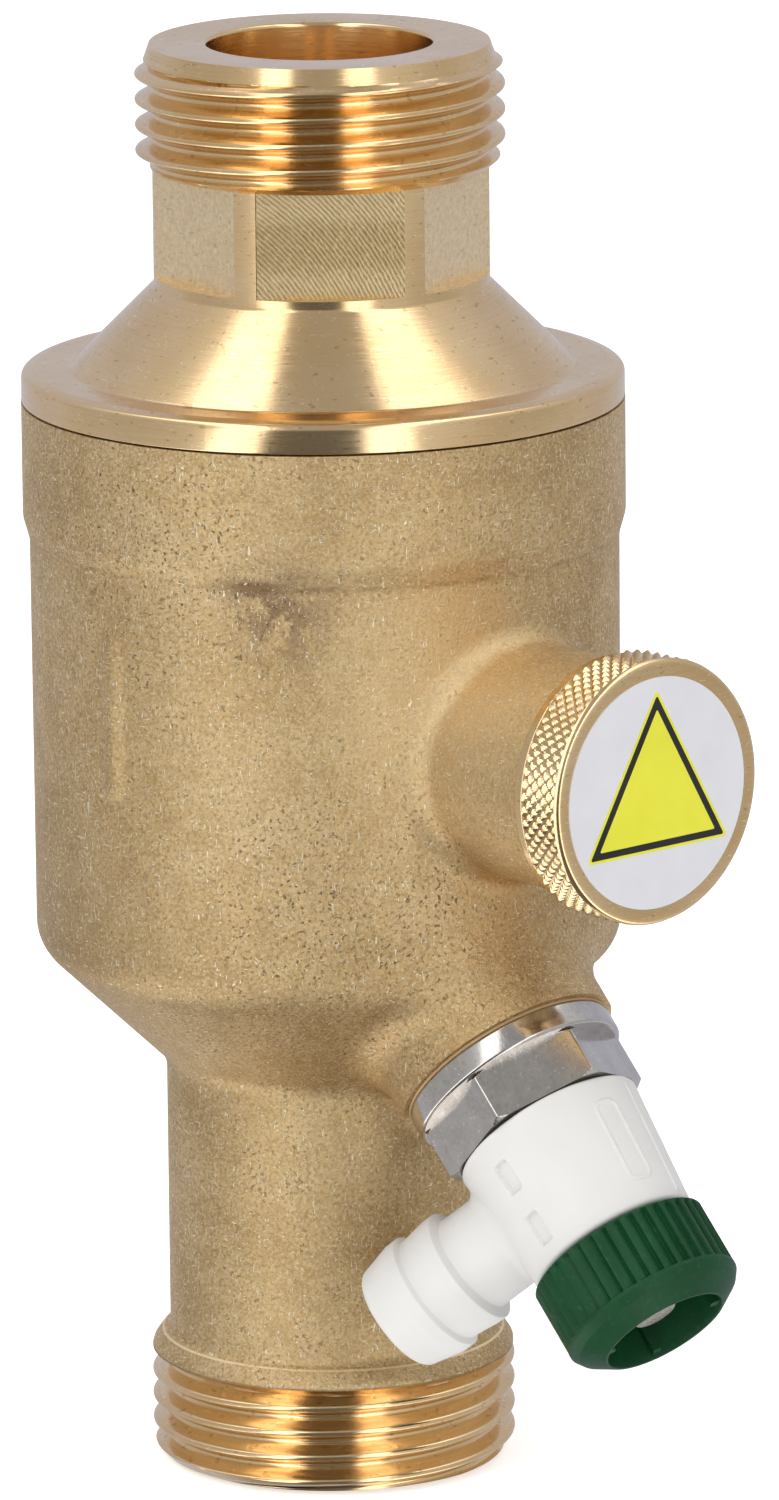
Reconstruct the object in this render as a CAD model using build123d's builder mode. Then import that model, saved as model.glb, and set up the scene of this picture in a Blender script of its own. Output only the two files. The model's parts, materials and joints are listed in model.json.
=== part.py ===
"""Magnetic system filter, built as an assembly of separate pieces, in millimetres.

The pipe axis is +Z, with the origin at the centre of the lower end face. The magnet boss points
along +X. The drain valve lies in the XZ plane and points down and outwards at 45 degrees.
Threads are drawn as plain cylinders at their crests.
"""

import os
from math import cos, radians, sin

from build123d import *

os.makedirs("parts", exist_ok=True)

# Clearances
SCREWED_GAP = 0.05
SEAL_GAP = 0.1
GROOVE_GAP = 0.05
SEAL_SQUEEZE_GAP = 0.02

# Pipe threads (G1) and flow path
THREAD_R = 16.62
THREAD_CHAMFER = 1.2
BORE_R = 10.12
LOWER_THREAD_TOP = 9.8
THREAD_SHOULDER_R = 15.72
THREAD_SHOULDER_Z = 11.4
TUBE_R = 14.95
TUBE_FOOT = 11.8
TUBE_TOP = 37.4

# Cast body
BODY_R = 26.65
BAND_R = 27.25
BODY_FOOT = 48.6
BAND_FOOT = 86.0
BAND_STEP = 2.0
SEAM_Z = 98.3
CAVITY_R = 23.4
CAVITY_FOOT = 50.0
SEAT_R = 11.4
SEAT_Z = 36.0
CONNECTOR_BORE_R = 24.3
CONNECTOR_SHELF_Z = 87.5

BODY_FOOT_FILLET = 4.0
TUBE_FILLET = 2.0
BAND_FILLET = 1.5
MAGNET_ROOT_FILLET = 2.0
DRAIN_ROOT_FILLET = 2.6
RIB_R = 1.0
RIB_DISTANCE = 26.05
RIB_ANGLE = -86.5
RIB_FOOT = 66.0
RIB_TOP = 80.0

# Top connector
FLANGE_R = 27.2
FLANGE_TOP = 101.3
CONE_FOOT_R = 22.8
NECK_R = 15.13
NECK_Z = 108.9
HEX_FOOT = 109.8
UPPER_THREAD_FOOT = 119.4
TOP_Z = 130.7
HEX_FLATS = 27.2
HEX_TURN = -37.55
SPIGOT_R = 24.25
SPIGOT_FOOT = 88.0
SPIGOT_BORE_R = 21.9
CONE_BORE_TOP = 106.8
FLANGE_GAP = 0.15
FLANGE_CHAMFER = 1.0
CONE_FILLET = 1.2
SEAL_GROOVE_R = 22.9
SEAL_GROOVE_FOOT = 95.9
BODY_SEAL_CORNER = 0.6
TOP_CHAMFER = 1.9
TOP_CHAMFER_DEPTH = 0.8
RIM_CHAMFER = 0.3

# Strainer
SIEVE_R = 10.5
SIEVE_WALL = 0.4
SIEVE_PITCH = 2.6
SIEVE_HOLES = 6
SIEVE_HOLE_R = 0.8
STRAINER_RIM = 2.0
STRAINER_LID = 1.0
STRAINER_LID_R = 11.1
STRAINER_LID_FILLET = 0.5
STRAINER_TOP = 58.0
STRAINER_RIBS = 4
STRAINER_RIB_DEPTH = 1.2
STRAINER_RIB_WIDTH = 2.0

# Magnet boss, dry sleeve and cap, along +X
MAGNET_Z = 69.2
BOSS_R = 10.6
BOSS_END = 38.0
BOSS_BORE_R = 8.65
SLEEVE_R = 6.6
SLEEVE_BORE_R = 5.8
SLEEVE_END = -13.0
SLEEVE_CLOSED_WALL = 1.0
SLEEVE_END_FILLET = 2.0
COLLAR_R = 11.5
COLLAR_FILLET = 0.25
COLLAR_END = 39.25
CAP_SOCKET_R = 7.05
CAP_SOCKET_END = 33.5
CAP_R = 12.0
CAP_START = 39.35
CAP_FACE = 44.4
LABEL_R = 10.4
ROD_R = 5.72
ROD_BORE_R = 5.2
MAGNET_R = 5.15
MAGNET_LENGTH = 8.0
SPACER_LENGTH = 1.5
MAGNET_COUNT = 4
ROD_START = -11.7
ROD_END_WALL = 0.5
ROD_END_FILLET = 1.6
STACK_START = -10.0
MAGNET_CHAMFER = 0.25
PLUG_FLANGE = 0.8
SLEEVE_SEAL_START = 36.6
SLEEVE_SEAL_R = 7.75
SLEEVE_SEAL_CORNER = 0.35
COLLAR_GAP = 0.15
PLUG_FACE = 29.5
PIN_R = 2.5
PIN_GROOVE_R = 2.0
PIN_END = 41.5
PIN_END_GAP = 0.3
CLIP_R = 4.2
CLIP_GAP = 0.1
CLIP_START = 34.6
CLIP_END = 35.2
CAP_SPIGOT_START = 34.0
CAP_SEAL_START = 37.4
CAP_SEAL_R = 5.9
CAP_SEAL_CORNER = 0.3
CAP_SPIGOT_GAP = 0.06
CAP_FACE_CHAMFER = 0.45
CAP_BACK_CHAMFER = 0.3
LABEL_THICKNESS = 0.12

# Drain boss and base, along the drain axis from its point on the pipe axis
DRAIN_Z = 65.2
DRAIN_BOSS_END = 34.4
PORT_R = 6.0
DRAIN_PORT_R = 4.0
DRAIN_BORE_R = 8.35
DRAIN_BORE_START = 27.0
BASE_START = 27.5
BASE_COLLAR_R = 10.1
BASE_COLLAR_START = 34.65
BASE_COLLAR_CHAMFER = 0.3
BASE_HEX_START = 37.0
BASE_HEX_END = 41.8
BASE_HEX_R = 9.75
BASE_HEX_FLATS = 17.0
BASE_HEX_CHAMFER = 0.6
BASE_HEX_TURN = 33.0
GASKET_R = 9.7
SWIVEL_R = 6.5
SWIVEL_BORE_R = 6.55
SWIVEL_START = 33.4
SWIVEL_SOCKET_START = 33.1
SWIVEL_SEAL_R = 5.5
SWIVEL_SEAL_CORNER = 0.3
RETAINER_START = 40.4
RETAINER_END = 41.0
RETAINER_R = 7.0
RETAINER_GROOVE_R = 5.9

# Outlet body
VALVE_START = 41.95
VALVE_END = 54.7
VALVE_FOOT_R = 8.85
VALVE_FOOT_FILLET = 0.3
VALVE_TOP_R = 7.8
VALVE_TOP_FILLET = 0.5
VALVE_NECK_R = 5.5
NECK_END = 58.2
INLET_R = 3.4
SEAT_T = 39.0
CHAMBER_R = 4.6
CHAMBER_END = 51.6

# Valve disc: a washer on a carrier that the stem's pin turns in
WASHER_THICKNESS = 1.6
WASHER_R = 4.3
WASHER_BORE_R = 1.8
CARRIER_START = 39.8
CARRIER_FLANGE = 1.2
CARRIER_HUB_R = 3.2
CARRIER_END = 44.4
CARRIER_BORE_START = 41.3
CARRIER_BORE_R = 1.7
CARRIER_UNDERCUT_R = 2.1
CARRIER_UNDERCUT_END = 42.5
CARRIER_GAP = 0.1

# Stem
STEM_R = 3.4
STEM_BORE_R = 3.45
STEM_WAIST_R = 2.4
STEM_GUIDE_START = 51.9
STEM_SEAL_START = 52.4
STEM_SEAL_END = 53.8
STEM_SEAL_R = 2.5
STEM_SEAL_CORNER = 0.2
STEM_SHOULDER = 58.3
STEM_SQUARE = 4.0
STEM_SQUARE_GAP = 0.08
STEM_TURN = 20.0
STEM_HEAD_R = 2.35
STEM_HEAD_START = 60.9
STEM_HEAD_CHAMFER = 0.35
STEM_END = 61.9

# Knob
KNOB_START = 55.0
KNOB_R = 8.45
KNOB_RIBS = 38
KNOB_RIB_END = 61.2
KNOB_GROOVE_DEPTH = 0.5
KNOB_GROOVE_WIDTH = 0.5
KNOB_SHOULDER_R = 7.9
KNOB_SHOULDER_T = 62.35
KNOB_SHOULDER_FILLET = 1.0
KNOB_LIP_R = 6.0
KNOB_END = 63.7
KNOB_MOUTH_R = 5.76
KNOB_MOUTH_FLOOR_R = 5.3
KNOB_SKIRT_BORE_R = 5.6
KNOB_WEB_START = 58.4
KNOB_WEB_END = 59.8
KNOB_HUB_R = 3.2
KNOB_HUB_END = 60.85
INNER_RIBS = 4
INNER_RIB_ANGLE = 26.0
INNER_RIB_DEPTH = 0.9
INNER_RIB_WIDTH = 0.8
INNER_RIB_END = 63.3

# Hose nozzle, square to the drain axis
NOZZLE_T = 47.7
NOZZLE_TURN = 27.5
NOZZLE_R = 4.7
NOZZLE_BORE_R = 3.3
NOZZLE_ROOT_FILLET = 0.8
INNER_BARB_START = 12.5
INNER_BARB_STEP = 12.9
INNER_BARB_CREST = 13.9
INNER_BARB_R = 5.65
INNER_BARB_FOOT_R = 5.3
TIP_BARB_START = 16.6
TIP_BARB_STEP = 16.9
TIP_BARB_CREST = 18.1
TIP_BARB_R = 5.85
NOZZLE_TIP = 21.6
NOZZLE_TIP_R = 5.05
NOZZLE_TIP_FILLET = 0.7

# Start, end and floor radius of each groove on the outlet body's spigot
seal_grooves = [(34.4, 36.2, SWIVEL_SEAL_R), (37.4, 39.2, SWIVEL_SEAL_R)]
retainer_groove = (RETAINER_START - GROOVE_GAP, RETAINER_END + GROOVE_GAP, RETAINER_GROOVE_R)

WASHER_END = SEAT_T + WASHER_THICKNESS

DRAIN_ORIGIN = Vector(0, 0, DRAIN_Z)
DRAIN_DIR = Vector(1, 0, -1).normalized()
DRAIN_AXIS = Axis(DRAIN_ORIGIN, DRAIN_DIR)
MAGNET_AXIS = Axis((0, 0, MAGNET_Z), (1, 0, 0))

# Profile planes: local x is the radius and local y runs along the axis
PIPE_PROFILE = Plane(origin=(0, 0, 0), x_dir=(-1, 0, 0), z_dir=(0, 1, 0))
MAGNET_PROFILE = Plane(origin=(0, 0, MAGNET_Z), x_dir=(0, 0, 1), z_dir=(0, 1, 0))
DRAIN_PROFILE = Plane(origin=DRAIN_ORIGIN, x_dir=(1, 0, 1), z_dir=(0, 1, 0))

nozzle_dir = (
    Vector(-1, 0, -1).normalized() * cos(radians(NOZZLE_TURN))
    + Vector(0, -1, 0) * sin(radians(NOZZLE_TURN))
)
nozzle_origin = DRAIN_ORIGIN + DRAIN_DIR * NOZZLE_T
NOZZLE_AXIS = Axis(nozzle_origin, nozzle_dir)
NOZZLE_PROFILE = Plane(origin=nozzle_origin, x_dir=DRAIN_DIR, z_dir=DRAIN_DIR.cross(nozzle_dir))


def across_magnet(x):
    """A plane square to the magnet axis at distance x from the pipe axis."""
    return Plane(origin=(x, 0, MAGNET_Z), x_dir=(0, 1, 0), z_dir=(1, 0, 0))


def across_drain(t):
    """A plane square to the drain axis at distance t along it."""
    return Plane(origin=DRAIN_ORIGIN + DRAIN_DIR * t, x_dir=(0, 1, 0), z_dir=DRAIN_DIR)


def corner(sketch, x, y):
    """The vertex of a profile sketch nearest to a point."""
    return sketch.vertices().sort_by_distance(Vector(x, y, 0))[0]


def profile(*points):
    """Fill the closed outline through the points."""
    Polygon(*points, align=None)


def finish(piece, name):
    """Label a piece and write it."""
    piece.part.label = name
    export_step(piece.part, f"parts/{name}.step")


def ring(plane, axis, inner, outer, start, end, name, corner_r=0.0):
    """A ring of rectangular section, its corners rounded where corner_r is given."""
    with BuildPart() as piece:
        with BuildSketch(plane) as section:
            profile((inner, start), (outer, start), (outer, end), (inner, end))
            if corner_r:
                fillet(section.vertices(), corner_r)
        revolve(axis=axis)
    finish(piece, name)


# Cast brass body: one hollow casting with the lower pipe thread and both bosses
with BuildPart() as filter_body:
    with BuildSketch(PIPE_PROFILE) as outline:
        profile(
            (0, 0),
            (THREAD_R - THREAD_CHAMFER, 0),
            (THREAD_R, THREAD_CHAMFER),
            (THREAD_R, LOWER_THREAD_TOP),
            (THREAD_SHOULDER_R, THREAD_SHOULDER_Z),
            (TUBE_R, TUBE_FOOT),
            (TUBE_R, TUBE_TOP),
            (BODY_R, BODY_FOOT),
            (BODY_R, BAND_FOOT),
            (BAND_R, BAND_FOOT + BAND_STEP),
            (BAND_R, SEAM_Z),
            (0, SEAM_Z),
        )
        fillet(corner(outline, BODY_R, BODY_FOOT), BODY_FOOT_FILLET)
        fillet(corner(outline, TUBE_R, TUBE_TOP), TUBE_FILLET)
        fillet(corner(outline, BODY_R, BAND_FOOT), BAND_FILLET)
        fillet(corner(outline, BAND_R, BAND_FOOT + BAND_STEP), BAND_FILLET)
    revolve(axis=Axis.Z)
    # Drain boss, blended into the tube, cone and body wall
    with BuildSketch(across_drain(0)):
        Circle(BOSS_R)
    extrude(amount=DRAIN_BOSS_END)
    fillet(filter_body.edges().filter_by(GeomType.BSPLINE), DRAIN_ROOT_FILLET)
    # Magnet boss, blended into the body wall
    with BuildSketch(across_magnet(0)):
        Circle(BOSS_R)
    extrude(amount=BOSS_END)
    boss_root = filter_body.edges().filter_by(GeomType.BSPLINE)
    boss_root = boss_root.sort_by_distance((BODY_R, 0, MAGNET_Z + BOSS_R))[0]
    fillet(boss_root, MAGNET_ROOT_FILLET)
    # Casting rib on the side away from the bosses
    with BuildSketch(Plane.XY.offset(RIB_FOOT)) as rib:
        with PolarLocations(RIB_DISTANCE, 1, start_angle=RIB_ANGLE):
            Circle(RIB_R)
    extrude(amount=RIB_TOP - RIB_FOOT)
    # Flow path: lower bore, strainer seat, cavity and the socket for the connector
    with BuildSketch(PIPE_PROFILE) as inside:
        profile(
            (0, 0),
            (BORE_R, 0),
            (BORE_R, SEAT_Z),
            (SEAT_R, SEAT_Z),
            (SEAT_R, CAVITY_FOOT - CAVITY_R + SEAT_R),
            (CAVITY_R, CAVITY_FOOT),
            (CAVITY_R, CONNECTOR_SHELF_Z),
            (CONNECTOR_BORE_R, CONNECTOR_SHELF_Z),
            (CONNECTOR_BORE_R, SEAM_Z),
            (0, SEAM_Z),
        )
        fillet(corner(inside, CAVITY_R, CAVITY_FOOT), BODY_FOOT_FILLET)
    revolve(axis=Axis.Z, mode=Mode.SUBTRACT)
    # Socket for the magnet sleeve
    with BuildSketch(across_magnet(BODY_R - BOSS_R)):
        Circle(BOSS_BORE_R)
    extrude(amount=BOSS_END, mode=Mode.SUBTRACT)
    # Dirt port and the socket for the drain valve
    with BuildSketch(across_drain(BODY_R - BOSS_R)):
        Circle(PORT_R)
    extrude(amount=DRAIN_BOSS_END, mode=Mode.SUBTRACT)
    with BuildSketch(across_drain(DRAIN_BORE_START)):
        Circle(DRAIN_BORE_R)
    extrude(amount=DRAIN_BOSS_END, mode=Mode.SUBTRACT)
finish(filter_body, "filter_body")

# Machined top connector: upper pipe thread, hexagon, cone, flange and threaded spigot
with BuildPart() as top_connector:
    with BuildSketch(PIPE_PROFILE) as outline:
        profile(
            (BORE_R, CONE_BORE_TOP),
            (SPIGOT_BORE_R, CONE_BORE_TOP - SPIGOT_BORE_R + BORE_R),
            (SPIGOT_BORE_R, SPIGOT_FOOT),
            (SPIGOT_R, SPIGOT_FOOT),
            (SPIGOT_R, SEAL_GROOVE_FOOT),
            (SEAL_GROOVE_R, SEAL_GROOVE_FOOT),
            (SEAL_GROOVE_R, SEAM_Z + FLANGE_GAP),
            (FLANGE_R, SEAM_Z + FLANGE_GAP),
            (FLANGE_R, FLANGE_TOP - FLANGE_CHAMFER),
            (FLANGE_R - FLANGE_CHAMFER, FLANGE_TOP),
            (CONE_FOOT_R, FLANGE_TOP),
            (NECK_R, NECK_Z),
            (NECK_R, UPPER_THREAD_FOOT),
            (THREAD_R, UPPER_THREAD_FOOT + THREAD_R - NECK_R),
            (THREAD_R, TOP_Z - TOP_CHAMFER),
            (THREAD_R - TOP_CHAMFER_DEPTH, TOP_Z),
            (BORE_R, TOP_Z),
        )
        fillet(corner(outline, CONE_FOOT_R, FLANGE_TOP), CONE_FILLET)
    revolve(axis=Axis.Z)
    # Six spanner flats milled into the neck
    with BuildSketch(Plane.XY.offset(HEX_FOOT)):
        Circle(NECK_R + 1)
        RegularPolygon(HEX_FLATS / 2, 6, major_radius=False, rotation=HEX_TURN + 30, mode=Mode.SUBTRACT)
    extrude(amount=UPPER_THREAD_FOOT - HEX_FOOT, mode=Mode.SUBTRACT)
    chamfer(top_connector.edges().filter_by(GeomType.CIRCLE).group_by(Axis.Z)[-1], RIM_CHAMFER)
finish(top_connector, "top_connector")

ring(
    PIPE_PROFILE, Axis.Z, SEAL_GROOVE_R + SEAL_SQUEEZE_GAP, CONNECTOR_BORE_R - SEAL_SQUEEZE_GAP,
    SEAL_GROOVE_FOOT + SEAL_GAP, SEAM_Z - SEAL_GAP, "body_seal_ring", BODY_SEAL_CORNER,
)

# Strainer standing over the lower bore: a frame and the perforated sieve round it
with BuildPart() as strainer_frame:
    with BuildSketch(Plane.XY.offset(SEAT_Z)):
        Circle(SEAT_R - SCREWED_GAP)
        Circle(SIEVE_R - 2 * SIEVE_WALL, mode=Mode.SUBTRACT)
    extrude(amount=STRAINER_RIM)
    with BuildSketch(Plane.XY.offset(SEAT_Z + STRAINER_RIM)):
        with PolarLocations(SIEVE_R - 2 * SIEVE_WALL - STRAINER_RIB_DEPTH / 2, STRAINER_RIBS):
            Rectangle(STRAINER_RIB_DEPTH, STRAINER_RIB_WIDTH)
    extrude(amount=STRAINER_TOP - SEAT_Z - STRAINER_RIM)
    with BuildSketch(Plane.XY.offset(STRAINER_TOP)):
        Circle(STRAINER_LID_R)
    extrude(amount=STRAINER_LID)
    fillet(strainer_frame.edges().group_by(Axis.Z)[-1], STRAINER_LID_FILLET)
finish(strainer_frame, "strainer_frame")

with BuildPart() as strainer_sieve:
    with BuildSketch(Plane.XY.offset(SEAT_Z + STRAINER_RIM)):
        Circle(SIEVE_R)
        Circle(SIEVE_R - SIEVE_WALL, mode=Mode.SUBTRACT)
    extrude(amount=STRAINER_TOP - SEAT_Z - STRAINER_RIM)
    sieve_rows = int((STRAINER_TOP - SEAT_Z - STRAINER_RIM) / SIEVE_PITCH)
    for row in range(sieve_rows):
        height = SEAT_Z + STRAINER_RIM + SIEVE_PITCH * (row + 0.5)
        for hole in range(SIEVE_HOLES):
            angle = 180 / SIEVE_HOLES * (hole + row % 2 / 2)
            across = Plane(origin=(0, 0, height), z_dir=Vector(1, 0, 0).rotate(Axis.Z, angle))
            with BuildSketch(across):
                Circle(SIEVE_HOLE_R)
            extrude(amount=SIEVE_R + 1, both=True, mode=Mode.SUBTRACT)
finish(strainer_sieve, "strainer_sieve")

# Dry sleeve for the magnet, screwed into its boss
with BuildPart() as magnet_sleeve:
    with BuildSketch(MAGNET_PROFILE) as outline:
        profile(
            (0, SLEEVE_END),
            (SLEEVE_R, SLEEVE_END),
            (SLEEVE_R, BODY_R),
            (BOSS_BORE_R - SCREWED_GAP, BODY_R),
            (BOSS_BORE_R - SCREWED_GAP, SLEEVE_SEAL_START),
            (SLEEVE_SEAL_R, SLEEVE_SEAL_START),
            (SLEEVE_SEAL_R, BOSS_END + COLLAR_GAP),
            (COLLAR_R, BOSS_END + COLLAR_GAP),
            (COLLAR_R, COLLAR_END),
            (CAP_SOCKET_R, COLLAR_END),
            (CAP_SOCKET_R, CAP_SOCKET_END),
            (SLEEVE_BORE_R, CAP_SOCKET_END),
            (SLEEVE_BORE_R, SLEEVE_END + SLEEVE_CLOSED_WALL),
            (0, SLEEVE_END + SLEEVE_CLOSED_WALL),
        )
        fillet(corner(outline, SLEEVE_R, SLEEVE_END), SLEEVE_END_FILLET)
        fillet(corner(outline, COLLAR_R, COLLAR_END), COLLAR_FILLET)
        fillet(corner(outline, COLLAR_R, BOSS_END + COLLAR_GAP), COLLAR_FILLET)
    revolve(axis=MAGNET_AXIS)
finish(magnet_sleeve, "magnet_sleeve")

ring(
    MAGNET_PROFILE, MAGNET_AXIS, SLEEVE_SEAL_R + SEAL_SQUEEZE_GAP, BOSS_BORE_R - SEAL_SQUEEZE_GAP,
    SLEEVE_SEAL_START + SEAL_GAP, BOSS_END, "sleeve_seal_ring", SLEEVE_SEAL_CORNER,
)

# Magnet rod: a thin tube with the magnets and their pole pieces, closed by a plug
with BuildPart() as magnet_tube:
    with BuildSketch(MAGNET_PROFILE) as outline:
        profile(
            (0, ROD_START),
            (ROD_R, ROD_START),
            (ROD_R, PLUG_FACE),
            (ROD_BORE_R, PLUG_FACE),
            (ROD_BORE_R, ROD_START + ROD_END_WALL),
            (0, ROD_START + ROD_END_WALL),
        )
        fillet(corner(outline, ROD_R, ROD_START), ROD_END_FILLET)
        fillet(corner(outline, ROD_BORE_R, ROD_START + ROD_END_WALL), ROD_END_FILLET - ROD_END_WALL)
    revolve(axis=MAGNET_AXIS)
finish(magnet_tube, "magnet_tube")

for index in range(MAGNET_COUNT):
    magnet_start = STACK_START + index * (MAGNET_LENGTH + SPACER_LENGTH)
    with BuildPart() as magnet_disc:
        with BuildSketch(across_magnet(magnet_start)):
            Circle(MAGNET_R)
        extrude(amount=MAGNET_LENGTH)
        chamfer(magnet_disc.edges().filter_by(GeomType.CIRCLE), MAGNET_CHAMFER)
    finish(magnet_disc, f"magnet_disc_{index + 1}")
    with BuildPart() as pole_piece:
        with BuildSketch(across_magnet(magnet_start + MAGNET_LENGTH)):
            Circle(MAGNET_R)
        extrude(amount=SPACER_LENGTH)
    finish(pole_piece, f"pole_piece_{index + 1}")

plug_start = STACK_START + MAGNET_COUNT * (MAGNET_LENGTH + SPACER_LENGTH)
with BuildPart() as magnet_plug:
    with BuildSketch(MAGNET_PROFILE):
        profile(
            (0, plug_start),
            (ROD_BORE_R - SEAL_SQUEEZE_GAP, plug_start),
            (ROD_BORE_R - SEAL_SQUEEZE_GAP, PLUG_FACE),
            (ROD_R, PLUG_FACE),
            (ROD_R, PLUG_FACE + PLUG_FLANGE),
            (PIN_R, PLUG_FACE + PLUG_FLANGE),
            (PIN_R, CLIP_START - CLIP_GAP),
            (PIN_GROOVE_R, CLIP_START - CLIP_GAP),
            (PIN_GROOVE_R, CLIP_END + CLIP_GAP),
            (PIN_R, CLIP_END + CLIP_GAP),
            (PIN_R, PIN_END),
            (0, PIN_END),
        )
    revolve(axis=MAGNET_AXIS)
finish(magnet_plug, "magnet_plug")

# Knurled cap that turns on the plug's pin, with its clip, seal ring and label
with BuildPart() as magnet_cap:
    with BuildSketch(MAGNET_PROFILE) as outline:
        profile(
            (PIN_R + SCREWED_GAP, CLIP_END),
            (CLIP_R, CLIP_END),
            (CLIP_R, CAP_SPIGOT_START),
            (CAP_SOCKET_R - CAP_SPIGOT_GAP, CAP_SPIGOT_START),
            (CAP_SOCKET_R - CAP_SPIGOT_GAP, CAP_SEAL_START),
            (CAP_SEAL_R, CAP_SEAL_START),
            (CAP_SEAL_R, CAP_START),
            (CAP_R, CAP_START),
            (CAP_R, CAP_FACE),
            (0, CAP_FACE),
            (0, PIN_END + PIN_END_GAP),
            (PIN_R + SCREWED_GAP, PIN_END + PIN_END_GAP),
        )
        chamfer(corner(outline, CAP_R, CAP_FACE), CAP_FACE_CHAMFER)
        chamfer(corner(outline, CAP_R, CAP_START), CAP_BACK_CHAMFER)
    revolve(axis=MAGNET_AXIS)
finish(magnet_cap, "magnet_cap")

ring(
    MAGNET_PROFILE, MAGNET_AXIS, PIN_GROOVE_R + GROOVE_GAP, CLIP_R,
    CLIP_START, CLIP_END, "cap_clip",
)
ring(
    MAGNET_PROFILE, MAGNET_AXIS, CAP_SEAL_R, CAP_SOCKET_R - SEAL_SQUEEZE_GAP,
    CAP_SEAL_START + SEAL_GAP, CAP_START - 2 * SEAL_GAP, "cap_seal_ring", CAP_SEAL_CORNER,
)

with BuildPart() as cap_label:
    with BuildSketch(across_magnet(CAP_FACE)):
        Circle(LABEL_R)
    extrude(amount=LABEL_THICKNESS)
finish(cap_label, "cap_label")

# Nickel-plated drain base: threaded spigot, round collar, hexagon and swivel socket
with BuildPart() as drain_base:
    with BuildSketch(DRAIN_PROFILE) as outline:
        profile(
            (DRAIN_PORT_R, BASE_START),
            (DRAIN_BORE_R - SCREWED_GAP, BASE_START),
            (DRAIN_BORE_R - SCREWED_GAP, BASE_COLLAR_START),
            (BASE_COLLAR_R, BASE_COLLAR_START),
            (BASE_COLLAR_R, BASE_HEX_START),
            (BASE_HEX_R, BASE_HEX_START),
            (BASE_HEX_R, BASE_HEX_END),
            (SWIVEL_BORE_R, BASE_HEX_END),
            (SWIVEL_BORE_R, RETAINER_END + GROOVE_GAP),
            (RETAINER_R + CLIP_GAP, RETAINER_END + GROOVE_GAP),
            (RETAINER_R + CLIP_GAP, RETAINER_START - GROOVE_GAP),
            (SWIVEL_BORE_R, RETAINER_START - GROOVE_GAP),
            (SWIVEL_BORE_R, SWIVEL_SOCKET_START),
            (DRAIN_PORT_R, SWIVEL_SOCKET_START),
        )
        chamfer(corner(outline, BASE_HEX_R, BASE_HEX_START), BASE_HEX_CHAMFER)
        chamfer(corner(outline, BASE_HEX_R, BASE_HEX_END), BASE_HEX_CHAMFER)
        chamfer(corner(outline, BASE_COLLAR_R, BASE_COLLAR_START), BASE_COLLAR_CHAMFER)
        chamfer(corner(outline, BASE_COLLAR_R, BASE_HEX_START), BASE_COLLAR_CHAMFER)
    revolve(axis=DRAIN_AXIS)
    with BuildSketch(across_drain(BASE_HEX_START)):
        Circle(BASE_COLLAR_R + 1)
        RegularPolygon(
            BASE_HEX_FLATS / 2, 6, major_radius=False, rotation=BASE_HEX_TURN, mode=Mode.SUBTRACT
        )
    extrude(amount=BASE_HEX_END - BASE_HEX_START, mode=Mode.SUBTRACT)
finish(drain_base, "drain_base")

ring(
    DRAIN_PROFILE, DRAIN_AXIS, DRAIN_BORE_R, GASKET_R,
    DRAIN_BOSS_END, BASE_COLLAR_START, "drain_gasket",
)

# White outlet body: swivel spigot, tapered barrel, neck and hose nozzle
with BuildPart() as valve_body:
    with BuildSketch(DRAIN_PROFILE) as outline:
        profile(
            (0, SWIVEL_START),
            (SWIVEL_R, SWIVEL_START),
            (SWIVEL_R, VALVE_START),
            (VALVE_FOOT_R, VALVE_START),
            (VALVE_TOP_R, VALVE_END),
            (VALVE_NECK_R, VALVE_END),
            (VALVE_NECK_R, NECK_END),
            (0, NECK_END),
        )
        fillet(corner(outline, VALVE_TOP_R, VALVE_END), VALVE_TOP_FILLET)
        fillet(corner(outline, VALVE_FOOT_R, VALVE_START), VALVE_FOOT_FILLET)
    revolve(axis=DRAIN_AXIS)
    with BuildSketch(NOZZLE_PROFILE) as outline:
        profile(
            (0, 0),
            (NOZZLE_R, 0),
            (NOZZLE_R, INNER_BARB_START),
            (INNER_BARB_R, INNER_BARB_STEP),
            (INNER_BARB_R, INNER_BARB_CREST),
            (INNER_BARB_FOOT_R, TIP_BARB_START),
            (TIP_BARB_R, TIP_BARB_STEP),
            (TIP_BARB_R, TIP_BARB_CREST),
            (NOZZLE_TIP_R, NOZZLE_TIP),
            (0, NOZZLE_TIP),
        )
        fillet(corner(outline, NOZZLE_TIP_R, NOZZLE_TIP), NOZZLE_TIP_FILLET)
    revolve(axis=NOZZLE_AXIS)
    fillet(valve_body.edges().filter_by(GeomType.BSPLINE), NOZZLE_ROOT_FILLET)
    # Grooves for the two swivel seal rings and the retaining ring
    for start, end, groove_r in (*seal_grooves, retainer_groove):
        with BuildSketch(DRAIN_PROFILE):
            profile((groove_r, start), (SWIVEL_R + 1, start), (SWIVEL_R + 1, end), (groove_r, end))
        revolve(axis=DRAIN_AXIS, mode=Mode.SUBTRACT)
    # Waterway: inlet, seat, valve chamber, stem guide and the nozzle bore
    with BuildSketch(DRAIN_PROFILE):
        profile(
            (0, SWIVEL_START),
            (INLET_R, SWIVEL_START),
            (INLET_R, SEAT_T),
            (CHAMBER_R, SEAT_T),
            (CHAMBER_R, CHAMBER_END),
            (STEM_BORE_R, CHAMBER_END),
            (STEM_BORE_R, NECK_END),
            (0, NECK_END),
        )
    revolve(axis=DRAIN_AXIS, mode=Mode.SUBTRACT)
    with BuildSketch(Plane(origin=nozzle_origin, z_dir=nozzle_dir)):
        Circle(NOZZLE_BORE_R)
    extrude(amount=NOZZLE_TIP, mode=Mode.SUBTRACT)
finish(valve_body, "valve_body")

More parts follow.
